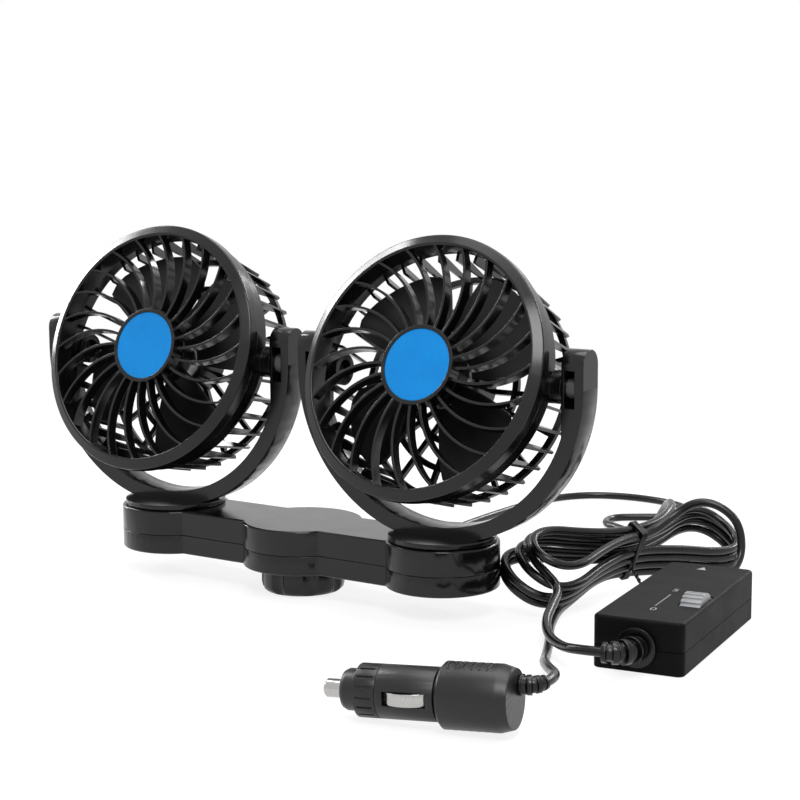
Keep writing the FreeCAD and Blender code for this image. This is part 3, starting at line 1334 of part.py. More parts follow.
doc.recompute()
problems = [obj.Name for obj in doc.Objects if "Invalid" in obj.State or "Error" in obj.State]
problems += [obj.Label for obj in nodes if obj.Shape.isNull() or not obj.Shape.isValid()]
if problems:
    raise ValueError("failed objects: " + ", ".join(problems))
os.makedirs("parts", exist_ok=True)
for obj in nodes:
    obj.Shape.exportStep(f"parts/{obj.Label}.step")
print(len(nodes), "sub-parts written")
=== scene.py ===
# %% [markdown]
# # A twin head car fan
# Two small fans stand in yokes on one base, and a cord runs from the base through a speed box to a
# vehicle plug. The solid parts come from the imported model. This lesson gives them their finishes,
# lays the cords as smooth curves and models the pieces whose looks need more than a plain solid.

import math

import bmesh
import bpy
from mathutils import Matrix, Vector


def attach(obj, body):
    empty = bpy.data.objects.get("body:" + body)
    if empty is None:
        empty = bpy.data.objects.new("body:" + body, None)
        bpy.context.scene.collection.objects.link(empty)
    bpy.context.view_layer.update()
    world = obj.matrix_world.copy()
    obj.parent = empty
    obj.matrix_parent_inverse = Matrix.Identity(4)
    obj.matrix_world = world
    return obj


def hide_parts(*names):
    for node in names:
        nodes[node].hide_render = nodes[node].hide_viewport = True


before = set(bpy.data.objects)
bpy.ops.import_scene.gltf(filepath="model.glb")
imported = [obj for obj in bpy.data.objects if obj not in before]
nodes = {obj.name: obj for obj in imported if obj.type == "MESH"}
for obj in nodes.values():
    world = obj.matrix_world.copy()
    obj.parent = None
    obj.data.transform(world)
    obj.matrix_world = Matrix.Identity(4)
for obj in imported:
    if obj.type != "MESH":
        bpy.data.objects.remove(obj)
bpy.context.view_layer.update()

# %% [markdown]
# ## Camera
# The picture was taken from the right of the object and a little above it, with a long lens. The
# camera is set by its two angles and a small roll, so that each number says one thing.

# %% Camera
MM = 0.001
AZIMUTH, ELEVATION, ROLL = (math.radians(a) for a in (34.04, 8.533, -0.3536))
back = Vector((math.sin(AZIMUTH) * math.cos(ELEVATION), -math.cos(AZIMUTH) * math.cos(ELEVATION),
               math.sin(ELEVATION)))
level_right = Vector((math.cos(AZIMUTH), math.sin(AZIMUTH), 0))
level_up = back.cross(level_right)
right = level_right * math.cos(ROLL) + level_up * math.sin(ROLL)
up = level_up * math.cos(ROLL) - level_right * math.sin(ROLL)

camera = bpy.data.objects.new("camera", bpy.data.cameras.new("camera"))
camera.data.sensor_width = 36.0
camera.data.lens = 83.93
camera.data.clip_start = 0.01
camera.rotation_euler = Matrix((right, up, back)).transposed().to_euler()
camera.location = (0.5434, -0.7181, 0.2287)
bpy.context.scene.collection.objects.link(camera)
bpy.context.scene.camera = camera
bpy.context.scene.view_settings.view_transform = "Standard"
print("camera at", tuple(round(x, 3) for x in camera.location))

# %% [markdown]
# ## Colours and nodes
# Colours are written as hex values, as a paint program shows them, and turned to linear light once.
# Materials are node trees, and one small function adds a node, its settings and its links.


# %% Colour and node helpers
def linear(colour):
    """An sRGB hex colour as linear red, green, blue and alpha."""
    channels = [int(colour[i:i + 2], 16) / 255 for i in (1, 3, 5)]
    return [c / 12.92 if c <= 0.04045 else ((c + 0.055) / 1.055) ** 2.4 for c in channels] + [1.0]


def add_node(tree, kind, links=(), values=(), **settings):
    """A node of a kind, with its settings, its input values and links from other nodes' outputs."""
    node = tree.nodes.new(kind)
    for name, value in settings.items():
        setattr(node, name, value)
    for socket, value in dict(values).items():
        node.inputs[socket].default_value = value
    for socket, source in dict(links).items():
        tree.links.new(source, node.inputs[socket])
    return node


def empty_material(name):
    """A material with an empty node tree, and that tree."""
    material = bpy.data.materials.new(name)
    material.use_nodes = True
    material.node_tree.nodes.clear()
    return material, material.node_tree


def seen_rays(tree):
    """An output that is 1 for what the camera sees, directly, mirrored or through glass."""
    rays = add_node(tree, "ShaderNodeLightPath").outputs
    mirrored = add_node(tree, "ShaderNodeMath",
                        {0: rays["Is Glossy Ray"], 1: rays["Is Transmission Ray"]},
                        operation="MAXIMUM")
    return add_node(tree, "ShaderNodeMath", {0: rays["Is Camera Ray"], 1: mirrored.outputs[0]},
                    operation="MAXIMUM").outputs[0]


print("black ABS in linear light", [round(c, 4) for c in linear("#0c0c0d")])

# %% [markdown]
# ## Stage and light
# A seamless white table under soft studio lamps. The floor is white to the camera and in
# reflections, but near the object part of its white is real light, so that the shadow stays on it.
# Away from the object it goes over to plain white, and so does the world, so no horizon shows. The
# world sheds only a mild grey light.

# %% Floor and world
FLOOR_SIZE, FLOOR_DROP = 6.0, 0.0003
SHADED_GLOW, NEAR_OBJECT, OFF_OBJECT = 0.84, 0.35, 0.8
WORLD_LIGHT = 0.3
floor_mesh = bmesh.new()
bmesh.ops.create_grid(floor_mesh, x_segments=1, y_segments=1, size=FLOOR_SIZE)
bmesh.ops.translate(floor_mesh, verts=floor_mesh.verts, vec=(0, 0, -FLOOR_DROP))
floor = bpy.data.objects.new("floor", bpy.data.meshes.new("floor"))
floor_mesh.to_mesh(floor.data)
floor_mesh.free()
bpy.context.scene.collection.objects.link(floor)

paper, tree = empty_material("white_paper_floor")
matte = add_node(tree, "ShaderNodeBsdfDiffuse", values={"Color": linear("#868686")})
plain = add_node(tree, "ShaderNodeBsdfDiffuse", values={"Color": linear("#e6e6e6")})
glow = add_node(tree, "ShaderNodeEmission",
                values={"Color": linear("#ffffff"), "Strength": SHADED_GLOW})
lit = add_node(tree, "ShaderNodeAddShader", {0: matte.outputs[0], 1: glow.outputs[0]})
full = add_node(tree, "ShaderNodeEmission",
                values={"Color": linear("#ffffff"), "Strength": 1.0})
reach = add_node(tree, "ShaderNodeVectorMath",
                 {0: add_node(tree, "ShaderNodeTexCoord").outputs["Object"]}, operation="LENGTH")
away = add_node(tree, "ShaderNodeMapRange", {"Value": reach.outputs["Value"]},
                {"From Min": NEAR_OBJECT, "From Max": OFF_OBJECT}, interpolation_type="SMOOTHSTEP")
white = add_node(tree, "ShaderNodeMixShader",
                 {0: away.outputs["Result"], 1: lit.outputs[0], 2: full.outputs[0]})
either = add_node(tree, "ShaderNodeMixShader",
                  {0: seen_rays(tree), 1: plain.outputs[0], 2: white.outputs[0]})
add_node(tree, "ShaderNodeOutputMaterial", {"Surface": either.outputs[0]})
floor.data.materials.append(paper)

world = bpy.data.worlds.new("studio")
bpy.context.scene.world = world
world.use_nodes = True
tree = world.node_tree
tree.nodes.clear()
dim = add_node(tree, "ShaderNodeBackground",
               values={"Color": linear("#ffffff"), "Strength": WORLD_LIGHT})
bright = add_node(tree, "ShaderNodeBackground",
                  values={"Color": linear("#ffffff"), "Strength": 1.0})
either = add_node(tree, "ShaderNodeMixShader",
                  {0: seen_rays(tree), 1: dim.outputs[0], 2: bright.outputs[0]})
add_node(tree, "ShaderNodeOutputWorld", {"Surface": either.outputs[0]})
print("stage", floor.name)


# %% Lamps
def softbox(name, place, aim, size, watts):
    """A rectangular lamp at a place, turned to face a point."""
    data = bpy.data.lights.new(name, "AREA")
    data.shape = "RECTANGLE"
    data.size, data.size_y = size
    data.energy = watts
    lamp = bpy.data.objects.new(name, data)
    lamp.location = place
    lamp.rotation_euler = (Vector(aim) - Vector(place)).to_track_quat("-Z", "Y").to_euler()
    bpy.context.scene.collection.objects.link(lamp)
    return lamp


softbox("top_box", (0.1, 0.1, 1.5), (0.05, 0, 0.05), (1.2, 0.9), 13.0)
softbox("front_box", (0.75, -1.0, 1.4), (0.05, 0, 0.08), (0.7, 0.7), 16.0)
softbox("left_strip", (-1.2, 0.1, 0.7), (0.0, 0, 0.1), (0.12, 1.2), 11.0)
softbox("right_strip", (0.5, 1.3, 0.8), (0.1, 0, 0.08), (1.2, 0.12), 10.0)

# %% [markdown]
# ## Finishes
# Nearly everything is black moulded plastic, so the differences that tell the pieces apart are in
# the gloss. Every finish starts from its real material: the polymer or metal, how it was made, and
# what that leaves on the surface. Patterns are sized in millimetres on Object coordinates.


# %% Moulded plastic
CLOUD_MM = 18


def moulded(name, dark, pale, rough, grain_mm, grain_depth_mm, specular=0.4, edge_mm=0.4):
    """A moulded polymer: two close shades, a slow change of gloss, a fine grain and soft edges."""
    material, tree = empty_material(name)
    place = add_node(tree, "ShaderNodeTexCoord").outputs["Object"]
    clouds = add_node(tree, "ShaderNodeTexNoise", {"Vector": place},
                      {"Scale": 1.0 / (CLOUD_MM * MM), "Detail": 4.0, "Roughness": 0.6})
    shade = add_node(tree, "ShaderNodeValToRGB", {"Fac": clouds.outputs["Fac"]})
    for stop, position, colour in zip(shade.color_ramp.elements, (0.35, 0.7), (dark, pale)):
        stop.position, stop.color = position, linear(colour)
    gloss = add_node(tree, "ShaderNodeMapRange", {"Value": clouds.outputs["Fac"]},
                     {"From Min": 0.3, "From Max": 0.7, "To Min": rough[0], "To Max": rough[1]})
    grain = add_node(tree, "ShaderNodeTexNoise", {"Vector": place},
                     {"Scale": 1.0 / (grain_mm * MM), "Detail": 2.0})
    edge = add_node(tree, "ShaderNodeBevel", values={"Radius": edge_mm * MM}, samples=4)
    bump = add_node(tree, "ShaderNodeBump",
                    {"Height": grain.outputs["Fac"], "Normal": edge.outputs["Normal"]},
                    {"Strength": 1.0, "Distance": grain_depth_mm * MM})
    shader = add_node(tree, "ShaderNodeBsdfPrincipled",
                      {"Base Color": shade.outputs["Color"], "Roughness": gloss.outputs["Result"],
                       "Normal": bump.outputs["Normal"]},
                      {"IOR": 1.5, "Specular IOR Level": specular})
    add_node(tree, "ShaderNodeOutputMaterial", {"Surface": shader.outputs[0]})
    return material


# Polished-tool ABS: near black, with clear reflections that are hardly wavy
gloss_abs = moulded("gloss_black_abs", "#08080a", "#0d0d0f", (0.14, 0.22), 2.2, 0.0025, 0.36)
# Spark textured ABS of the box: the same black, with a fine grain that breaks up every reflection
grained_abs = moulded("grained_black_abs", "#060607", "#0b0b0c", (0.5, 0.58), 0.6, 0.05, 0.08)
# Lightly textured ABS of the plug: a shade paler, with reflections blurred to a sheen
satin_abs = moulded("satin_black_abs", "#0c0c0d", "#121213", (0.34, 0.4), 0.7, 0.02, 0.42)
# Glass filled polyamide of the blades and small inner parts: darkened as painted shade, duller
nylon_painted_shade = moulded("black_nylon_painted_shade", "#060607", "#09090a", (0.3, 0.38), 0.9, 0.012, 0.36)
# Soft PVC of cord jackets and strain reliefs: a greasy low sheen
pvc = moulded("soft_black_pvc", "#060607", "#0c0c0d", (0.2, 0.28), 0.8, 0.008, 0.34)
# Acetal of the tilt pins: a dark grey that shows in the windows of the ears, with a soft sheen
acetal = moulded("grey_acetal", "#4c4c4e", "#58585a", (0.3, 0.4), 0.9, 0.006)
# Blue dyed acrylic disc of each hub: a clean flat colour under a smooth gloss
blue_disc = moulded("blue_acrylic", "#0c80cd", "#1187d5", (0.24, 0.3), 1.6, 0.003, 0.2)
# Silver pigmented ABS thumbwheel: grey, with a soft metallic look
silver_abs = moulded("silver_grey_abs", "#8c8d90", "#a3a4a7", (0.32, 0.42), 0.5, 0.01)
# Clear glass of the fuse, seen only where the plug is opened, as a pale smooth tube
fuse_glass = moulded("fuse_glass", "#c9d2d2", "#d6dede", (0.08, 0.12), 1.5, 0.002)
# Pad printed grey ink of the box's scale: flat and dull
ink = moulded("grey_pad_print_ink", "#8b8b8c", "#a0a0a1", (0.5, 0.6), 0.3, 0.006)
# Green epoxy laminate of the circuit board
laminate = moulded("green_laminate", "#12552e", "#186538", (0.3, 0.4), 0.4, 0.008)
print("plastics", [m.name for m in bpy.data.materials if m.name != "white_paper_floor"])


# %% Metals
MARK_DRAW = 0.12


def metal(name, dark, pale, rough, brush_mm, brush_depth_mm):
    """A plated or drawn metal: fine marks drawn out one way, and a slow change of gloss."""
    material, tree = empty_material(name)
    place = add_node(tree, "ShaderNodeTexCoord").outputs["Object"]
    drawn = add_node(tree, "ShaderNodeMapping", {"Vector": place},
                     {"Scale": (1.0, 1.0, MARK_DRAW)})
    marks = add_node(tree, "ShaderNodeTexNoise", {"Vector": drawn.outputs["Vector"]},
                     {"Scale": 1.0 / (brush_mm * MM), "Detail": 3.0})
    shade = add_node(tree, "ShaderNodeValToRGB", {"Fac": marks.outputs["Fac"]})
    for stop, position, colour in zip(shade.color_ramp.elements, (0.3, 0.75), (dark, pale)):
        stop.position, stop.color = position, linear(colour)
    gloss = add_node(tree, "ShaderNodeMapRange", {"Value": marks.outputs["Fac"]},
                     {"To Min": rough[0], "To Max": rough[1]})
    bump = add_node(tree, "ShaderNodeBump", {"Height": marks.outputs["Fac"]},
                    {"Strength": 1.0, "Distance": brush_depth_mm * MM})
    shader = add_node(tree, "ShaderNodeBsdfPrincipled",
                      {"Base Color": shade.outputs["Color"], "Roughness": gloss.outputs["Result"],
                       "Normal": bump.outputs["Normal"]}, {"Metallic": 1.0})
    add_node(tree, "ShaderNodeOutputMaterial", {"Surface": shader.outputs[0]})
    return material


# Nickel plate on the plug's pin and springs: bright and nearly neutral
nickel = metal("nickel_plate", "#a6a5a3", "#b8b7b5", (0.16, 0.24), 0.25, 0.001)
# Zinc plated steel of motor can, screws and stud: greyer and duller
steel = metal("zinc_plated_steel", "#8f9091", "#b2b3b4", (0.28, 0.42), 0.6, 0.008)
# Drawn brass of the nut
brass = metal("drawn_brass", "#a5813f", "#c9a35c", (0.24, 0.36), 0.6, 0.006)
print("metals", nickel.name, steel.name, brass.name)

# %% [markdown]
# ## Dressing the solid parts
# A solid from the model keeps its shape and takes a finish. Real mouldings have no knife edges, and
# the light that runs along a rounded edge is what makes black plastic readable. So each shell gets
# a weld, which joins the loose triangles, and a small bevel, which is live and leaves the mesh
# alone.

# %% Finish of each node
HEAD_FINISHES = {"front_grille": gloss_abs, "hub_badge": blue_disc, "rear_cage": gloss_abs,
                 "motor_can": steel, "motor_cap": nylon_painted_shade, "motor_shaft": steel, "impeller": nylon_painted_shade,
                 "pivot_pins": acetal, "yoke": gloss_abs, "swivel_clip": nylon_painted_shade, "motor_lead": pvc}
finishes = {f"{side}_{name}": finish for side in ("left", "right")
            for name, finish in HEAD_FINISHES.items()}
for finish, names in (
        (gloss_abs, "base_upper_shell base_lower_shell clamp_knob"),
        (grained_abs, "box_lower_shell box_upper_shell"),
        (satin_abs, "plug_cap plug_barrel plug_handle"),
        (pvc, "box_near_boot box_far_boot plug_boot cord_grommet clamp_washer wire_splice "
              "box_cord plug_cord fan_cord cord_hank cord_tie"),
        (steel, "base_screws clamp_stud box_screws"), (brass, "clamp_nut"),
        (nickel, "plug_pin plug_contact_far plug_contact_near"), (silver_abs, "speed_wheel"),
        (nylon_painted_shade, "wheel_axle speed_sensor"), (laminate, "circuit_board"), (fuse_glass, "plug_fuse")):
    finishes.update({name: finish for name in names.split()})
for name, node in nodes.items():
    node.data.materials.clear()
    node.data.materials.append(finishes[name])
print("finished nodes", len(finishes), "missing", sorted(set(nodes) - set(finishes)))

# %% Rounded edges
EDGE_ROUND = {"yoke": 0.7, "hub_badge": 0.4}
WELD_MM, BEVEL_SEGMENTS, BEVEL_FROM = 0.004, 2, math.radians(38)
edge_rounds = {f"{side}_{name}": size for side in ("left", "right")
               for name, size in EDGE_ROUND.items()}
edge_rounds.update({"base_upper_shell": 0.6, "base_lower_shell": 0.5, "clamp_knob": 0.6,
                    "box_lower_shell": 0.35, "box_upper_shell": 0.35, "plug_cap": 0.3,
                    "plug_barrel": 0.3, "plug_handle": 0.35, "plug_pin": 0.3,
                    "plug_contact_near": 0.15, "plug_contact_far": 0.15, "speed_wheel": 0.15,
                    "box_near_boot": 0.3, "box_far_boot": 0.3, "plug_boot": 0.25,
                    "cord_grommet": 0.25})
for name, size in edge_rounds.items():
    weld = nodes[name].modifiers.new("weld", "WELD")
    weld.merge_threshold = WELD_MM * MM
    bevel = nodes[name].modifiers.new("edge_round", "BEVEL")
    bevel.width = size * MM
    bevel.segments = BEVEL_SEGMENTS
    bevel.profile = 0.5
    bevel.limit_method = "ANGLE"
    bevel.angle_limit = BEVEL_FROM
    bevel.harden_normals = True
print("rounded nodes", len(edge_rounds))


# %% [markdown]
# ## New pieces
# A new piece starts as a bmesh in its own frame, in millimetres. One function moves it to its place
# on the object, makes the object, and ties it to the body that carries it.


# %% Piece helper
def new_piece(name, shape, place, material, body, replaced=()):
    """A mesh piece from a bmesh in millimetres, put in its place and tied to a body."""
    bmesh.ops.transform(shape, matrix=place @ Matrix.Scale(MM, 4), verts=shape.verts)
    mesh = bpy.data.meshes.new(name)
    shape.to_mesh(mesh)
    shape.free()
    piece = bpy.data.objects.new(name, mesh)
    piece.data.materials.append(material)
    bpy.context.scene.collection.objects.link(piece)
    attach(piece, body)
    if replaced:
        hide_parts(*replaced)
    return piece


HEAD_ANGLES = {"left": (-81.7, 2.4, 18.0), "right": (81.7, 1.1, 21.3)}
PIVOT_HEIGHT = 111.1


def head_place(side):
    """The head's frame: Z out of the front grille, X along the tilt axis."""
    x, yaw, pitch = HEAD_ANGLES[side]
    return (Matrix.Translation(Vector((x, 0, PIVOT_HEIGHT)) * MM)
            @ Matrix.Rotation(math.radians(yaw), 4, "Z")
            @ Matrix.Rotation(math.radians(90 - pitch), 4, "X"))


print("head frames", {side: tuple(round(v, 3) for v in head_place(side).translation)
                      for side in HEAD_ANGLES})

# %% [markdown]
# ## Impellers
# Behind each grille turns a moulded impeller with four wide blades. A real blade is twisted: steep
# at the hub and flatter at the tip. One blade is a grid that is bent to that shape and given a
# thickness, and spin copies it round the hub. The hub is a turned cup.

# %% Impellers
HUB_RADIUS, HUB_FRONT, HUB_BACK, HUB_WALL, HUB_TOP, SHAFT_BORE = 15.4, 10.6, 2.0, 1.6, 1.8, 1.3
HUB_CROWN = ((12.4, 0.0), (14.6, 0.8), (HUB_RADIUS, 3.0))
BLADE_TIP, BLADE_FRONT, BLADE_BACK, BLADE_THICKNESS = 52.6, 8.4, -5.6, 1.4
ROOT_SPAN, TIP_SPAN, ROOT_RISE = 74, 60, 0.72
CORNER_CUT, BLADE_HOLLOW, ROOT_DEPTH = 5.0, 1.6, 1
BLADES, BLADE_CELLS, HUB_STEPS = 4, 10, 64
BLADE_ROUND, BLADE_ROUND_FROM = 0.35, math.radians(40)


def impeller(side, first_angle):
    """The twisted blades and the turned hub of one head, in the place of the plain impeller."""
    shape = bmesh.new()
    bmesh.ops.create_grid(shape, x_segments=BLADE_CELLS, y_segments=BLADE_CELLS, size=0.5)
    for vert in shape.verts:
        across, out = vert.co.x, vert.co.y + 0.5
        radius = HUB_RADIUS - ROOT_DEPTH + (BLADE_TIP - HUB_RADIUS + ROOT_DEPTH) * out
        radius -= CORNER_CUT * (2 * abs(across)) ** 5 * out ** 3
        span = math.radians(ROOT_SPAN + (TIP_SPAN - ROOT_SPAN) * out)
        angle = math.radians(first_angle) + across * span
        middle = (BLADE_FRONT + BLADE_BACK) / 2
        rise = (BLADE_FRONT - BLADE_BACK) * (ROOT_RISE + (1 - ROOT_RISE) * out)
        height = middle + across * rise - BLADE_HOLLOW * (1 - (2 * across) ** 2)
        vert.co = (radius * math.cos(angle), radius * math.sin(angle), height)
    bmesh.ops.recalc_face_normals(shape, faces=shape.faces)
    bmesh.ops.solidify(shape, geom=shape.faces[:], thickness=BLADE_THICKNESS)
    bmesh.ops.spin(shape, geom=shape.verts[:] + shape.edges[:] + shape.faces[:], cent=(0, 0, 0),
                   axis=(0, 0, 1), angle=2 * math.pi * (BLADES - 1) / BLADES, steps=BLADES - 1,
                   use_duplicate=True)
    inside = HUB_RADIUS - HUB_WALL
    profile = [(SHAFT_BORE, HUB_FRONT)] + [(r, HUB_FRONT - drop) for r, drop in HUB_CROWN]
    profile += [(HUB_RADIUS, HUB_BACK), (inside, HUB_BACK), (inside, HUB_FRONT - HUB_TOP),
                (SHAFT_BORE, HUB_FRONT - HUB_TOP)]
    verts = [shape.verts.new((r, 0, z)) for r, z in profile]
    edges = [shape.edges.new((a, b)) for a, b in zip(verts, verts[1:] + verts[:1])]
    bmesh.ops.spin(shape, geom=verts + edges, cent=(0, 0, 0), axis=(0, 0, 1),
                   angle=2 * math.pi, steps=HUB_STEPS, use_merge=True)
    bmesh.ops.recalc_face_normals(shape, faces=shape.faces)
    for face in shape.faces:
        face.smooth = True
    piece = new_piece(f"{side}_blades", shape, head_place(side), nylon_painted_shade, f"{side}_rotor",
                      [f"{side}_impeller"])
    rounding = piece.modifiers.new("edge_round", "BEVEL")
    rounding.width, rounding.segments = BLADE_ROUND * MM, BEVEL_SEGMENTS
    rounding.limit_method, rounding.angle_limit = "ANGLE", BLADE_ROUND_FROM
    rounding.harden_normals = True
    return piece


for side, first_angle in (("left", 25.0), ("right", 40.0)):
    piece = impeller(side, first_angle)
    print(piece.name, "faces", len(piece.data.polygons))

# %% [markdown]
# ## Scale of the speed box
# Beside the thumbwheel a printed line runs from nought to five, and an arrow at the far end shows
# the way to the fans. The numerals are made as text and turned to mesh.

# %% Scale of the speed box
BOX_PLACE = (Matrix.Translation(Vector((196.2, 12.8, 0)) * MM)
             @ Matrix.Rotation(math.radians(7.7), 4, "Z"))
BOX_TOP, INK_DEPTH = 23.0, 0.06
LINE_ACROSS, LINE_NEAR, LINE_FAR, LINE_WIDTH = -0.3, -28.5, -7.8, 0.5
NUMERAL_HEIGHT, FONT_SIZE_OF_HEIGHT = 4.4, 1.4
NUMERALS = (("0", (0.6, -36.0)), ("5", (-0.5, -1.5)))
ARROW = ((-4.0, 41.5), (0.4, 41.5), (-1.8, 46.5))


def print_outline(shape, corners):
    """A flat mark with the depth of a layer of ink."""
    face = shape.faces.new([shape.verts.new((x, y, BOX_TOP)) for x, y in corners])
    raised = bmesh.ops.extrude_face_region(shape, geom=[face])["geom"]
    bmesh.ops.translate(shape, vec=(0, 0, INK_DEPTH),
                        verts=[v for v in raised if isinstance(v, bmesh.types.BMVert)])


def print_numeral(shape, text, spot):
    """A numeral made as text, turned to mesh and put at its spot on the lid."""
    letter = bpy.data.curves.new("numeral", "FONT")
    letter.body, letter.size = text, NUMERAL_HEIGHT * FONT_SIZE_OF_HEIGHT
    letter.align_x, letter.extrude = "CENTER", INK_DEPTH
    carrier = bpy.data.objects.new("numeral", letter)
    mesh = carrier.to_mesh()
    mesh.transform(Matrix.Translation((*spot, BOX_TOP)))
    shape.from_mesh(mesh)
    carrier.to_mesh_clear()
    bpy.data.objects.remove(carrier)
    bpy.data.curves.remove(letter)


scale = bmesh.new()
print_outline(scale, [(LINE_ACROSS + side * LINE_WIDTH / 2, along) for side, along in
                      ((-1, LINE_NEAR), (1, LINE_NEAR), (1, LINE_FAR), (-1, LINE_FAR))])
print_outline(scale, ARROW)
for text, spot in NUMERALS:
    print_numeral(scale, text, spot)
bmesh.ops.recalc_face_normals(scale, faces=scale.faces)
box_scale = new_piece("box_scale", scale, BOX_PLACE, ink, "base")
print(box_scale.name, "faces", len(box_scale.data.polygons))

# %% [markdown]
# ## Cords
# The cord is a thin round PVC lead. From the speed box it goes into a leaning hank of four loops,
# comes out at the bottom and runs to the plug. A second lead comes from behind the base, lies in a
# wide bend on the table, goes round the top of the hank and ends in the far side of the box. Each
# is one smooth NURBS line through listed points, and a formula works out the hank's turns.

# %% Route of the plug cord
CORD_RADIUS = 2.1
ON_TABLE = 2.15
HANK_CENTRE = Vector((131.0, 82.0, 7.47))
HANK_TURN, HANK_TILT = math.radians(73.0), math.radians(30.0)
HANK_PLACE = (Matrix.Translation(HANK_CENTRE) @ Matrix.Rotation(HANK_TURN, 4, "Z")
              @ Matrix.Rotation(HANK_TILT, 4, "X"))
LOWEST_LAYER, HANK_STEP = 3.05, 4.75
LOOP_REACH = ((66, 72), (69, 78), (76, 79), (75, 80))
LOOP_SWELL = (40, 42, 44, 42)
WAIST = 2.3
POINTS_A_TURN = 16


def level(layer):
    """The height of a layer of the hank in its own frame."""
    return LOWEST_LAYER + HANK_STEP * layer


def on_hank(along, across, height):
    """A point in the hank's own frame, which leans to the near side, in millimetres."""
    return HANK_PLACE @ Vector((along, -across, height))


def by_hank(along, across, height):
    """A point given along and across the hank on the table, and its height over the table."""
    flat = Matrix.Rotation(HANK_TURN, 3, "Z") @ Vector((along, -across, 0))
    return Vector((HANK_CENTRE.x + flat.x, HANK_CENTRE.y + flat.y, height))


def hank_turns():
    """The loops from the top one down, each a layer lower after its far right run."""
    points = []
    loops = len(LOOP_REACH)
    for step in range(loops * POINTS_A_TURN - POINTS_A_TURN // 4 + 1):
        loop, part = divmod(step, POINTS_A_TURN)
        angle = 2 * math.pi * part / POINTS_A_TURN
        reach_loop = min(loop + 1, loops - 1) if part > POINTS_A_TURN * 3 / 4 else loop
        reach = LOOP_REACH[reach_loop][0 if math.cos(angle) > 0 else 1]
        swell = LOOP_SWELL[reach_loop]
        drop = min(max((angle - math.pi / 2) / (math.pi / 2), 0.0), 1.0)
        height = level(loops - loop) - HANK_STEP * drop
        points.append(on_hank(-reach * math.cos(angle),
                              -math.sin(angle) * (WAIST + swell * math.cos(angle) ** 2), height))
    return points


top = level(len(LOOP_REACH))
BOX_NEAR_TIP, BOX_NEAR_WAY = Vector((194.959, -53.975, 11.2)), Vector((-0.9755, -0.2198, 0.0))
PLUG_TIP, PLUG_WAY = Vector((207.497, -124.694, 18.711)), Vector((0.1387, 0.9902, 0.0179))
plug_route = [BOX_NEAR_TIP, BOX_NEAR_TIP + BOX_NEAR_WAY * 12, Vector((171, -46, 8)),
              Vector((158, -34, 7.5)), Vector((149, -21, 10)), Vector((144, -6, 13)),
              on_hank(-66, 20, top), on_hank(-66, 7, top)]
plug_route += hank_turns()
plug_route += [on_hank(-18, 2.5, level(0)), by_hank(-40, 8, ON_TABLE), by_hank(-58, 18, ON_TABLE),
               by_hank(-80, 36, ON_TABLE), Vector((152, -22, ON_TABLE)), Vector((165.5, -50, 2.6)),
               Vector((180, -76.5, 10.5)), Vector((193, -97, 15.5)), PLUG_TIP + PLUG_WAY * 9,
               PLUG_TIP]
print("plug cord points", len(plug_route))

# %% Route of the fan cord
BASE_TIP = Vector((0.0, 45.6, 18.0))
BOX_FAR_TIP, BOX_FAR_WAY = Vector((186.566, 84.052, 11.2)), Vector((-0.134, 0.991, 0.0))
over = level(len(LOOP_REACH) + 1)
TABLE_BEND = ((-2, 118), (-5, 160), (-5, 205), (-2, 245), (12, 270), (36, 279), (62, 277),
              (82, 267), (88, 250), (80, 236), (70, 230), (56, 220), (59, 204), (74, 197),
              (87, 188))
UP_HANK = ((78, -52, 7), (64, -33, 21))
OVER_HANK = ((49, -24, 20), (34, -10, over), (12, -2.5, over), (-12, -2.5, over), (-31, -7, over),
             (-48, -13, over), (-61, -11, over), (-67, 0, over), (-61, 11, over), (-48, 13, over),
             (-31, 7, over), (-12, 2.5, over), (8, 2.5, over))
fan_route = [BASE_TIP, BASE_TIP + Vector((0, 16, 0)), Vector((1, 84, 8))]
fan_route += [Vector((x, y, ON_TABLE)) for x, y in TABLE_BEND]
fan_route += [by_hank(*spot) for spot in UP_HANK] + [on_hank(*spot) for spot in OVER_HANK]
fan_route += [Vector((154, 97, 37)), Vector((163, 102, 44)), Vector((174, 105, 43)),
              Vector((184, 107, 35)), BOX_FAR_TIP + BOX_FAR_WAY * 22 + Vector((3, 0, 8.5)),
              BOX_FAR_TIP + BOX_FAR_WAY * 11, BOX_FAR_TIP]
print("fan cord points", len(fan_route))


# %% Cords as curves
def lay_cord(name, route, replaced, radius=CORD_RADIUS):
    """One smooth round cord through a route in millimetres."""
    curve = bpy.data.curves.new(name, "CURVE")
    curve.dimensions = "3D"
    curve.bevel_depth = radius * MM
    curve.bevel_resolution = 5
    curve.resolution_u = 8
    curve.use_fill_caps = True
    spline = curve.splines.new("NURBS")
    spline.points.add(len(route) - 1)
    for point, spot in zip(spline.points, route):
        point.co = (*(spot * MM), 1.0)
    spline.order_u = 3
    spline.use_endpoint_u = True
    spline.use_smooth = True
    curve.materials.append(pvc)
    piece = bpy.data.objects.new(name, curve)
    bpy.context.scene.collection.objects.link(piece)
    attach(piece, "base")
    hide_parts(*replaced)
    return piece


def route_length(piece):
    """The length of a cord along its middle, in metres."""
    return sum(spline.calc_length() for spline in piece.data.splines)


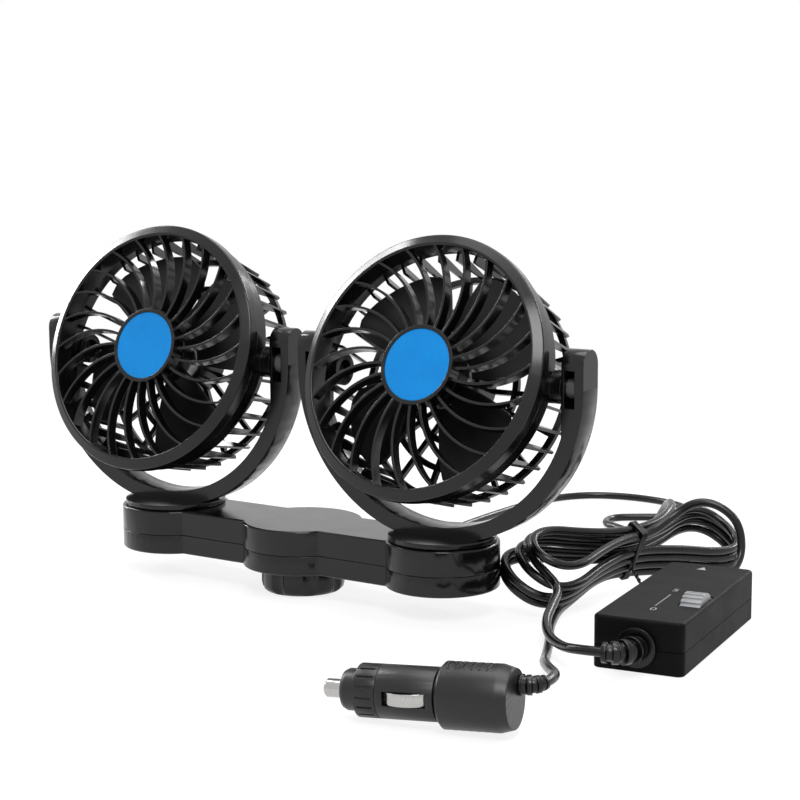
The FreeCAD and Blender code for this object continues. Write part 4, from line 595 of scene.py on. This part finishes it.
plug_lead = lay_cord("plug_lead", plug_route, ["box_cord", "cord_hank", "plug_cord"])
fan_lead = lay_cord("fan_lead", fan_route, ["fan_cord"])
print("plug lead", round(route_length(plug_lead), 3), "m")
print("fan lead", round(route_length(fan_lead), 3), "m")

# %% [markdown]
# ## Twist tie
# A plastic coated wire holds the hank at its waist. It is wound three times round the bundle, and
# its two ends are twisted together on the side that faces the plug.

# %% Twist tie
TIE_RADIUS, TIE_HALF_WIDTH, TIE_TOP = 0.6, 5.3, 29.6
TIE_PITCH, TIE_TURNS = 1.35, 3
TWIST_POINTS, TWIST_STEP, TWIST_FOOT, TWIST_DROP = 8, 1.1, 1.4, 0.35
TWIST_ALONG, TWIST_HEIGHT, TWIST_SPLAY = -0.4, 9.5, 2.2
ROUND_TIE = ((1, 0.16), (1, 0.45), (1, 0.8), (1, 1), (0.45, 1), (-0.45, 1), (-1, 1), (-1, 0.8),
             (-1, 0.45), (-1, 0.16), (-1, 0), (-0.45, 0), (0.45, 0), (1, 0))


def tie_point(step):
    """A point of the wire on its way round the bundle."""
    turn, part = divmod(step, len(ROUND_TIE))
    across, height = ROUND_TIE[part]
    along = TIE_PITCH * (turn + part / len(ROUND_TIE) - TIE_TURNS / 2)
    return on_hank(along, TIE_HALF_WIDTH * across, TIE_RADIUS + (TIE_TOP - TIE_RADIUS) * height)


def twisted_end(sense):
    """One end of the wire, twisted with the other and standing off the bundle."""
    points = []
    for step in range(TWIST_POINTS):
        angle = math.pi * (0.25 + step / 2) + (math.pi if sense < 0 else 0.0)
        spread = TIE_RADIUS * (1.0 if step < TWIST_POINTS - 1 else TWIST_SPLAY)
        points.append(on_hank(TWIST_ALONG + spread * math.cos(angle),
                              TIE_HALF_WIDTH + TWIST_FOOT + TWIST_STEP * step,
                              TWIST_HEIGHT - TWIST_DROP * step + spread * math.sin(angle)))
    return points


wound = [tie_point(step) for step in range(2, TIE_TURNS * len(ROUND_TIE) + 1)]
tie_route = twisted_end(1)[::-1] + wound + twisted_end(-1)
twist_tie = lay_cord("twist_tie", tie_route, ["cord_tie"], TIE_RADIUS)
print("twist tie", round(route_length(twist_tie), 3), "m of wire")
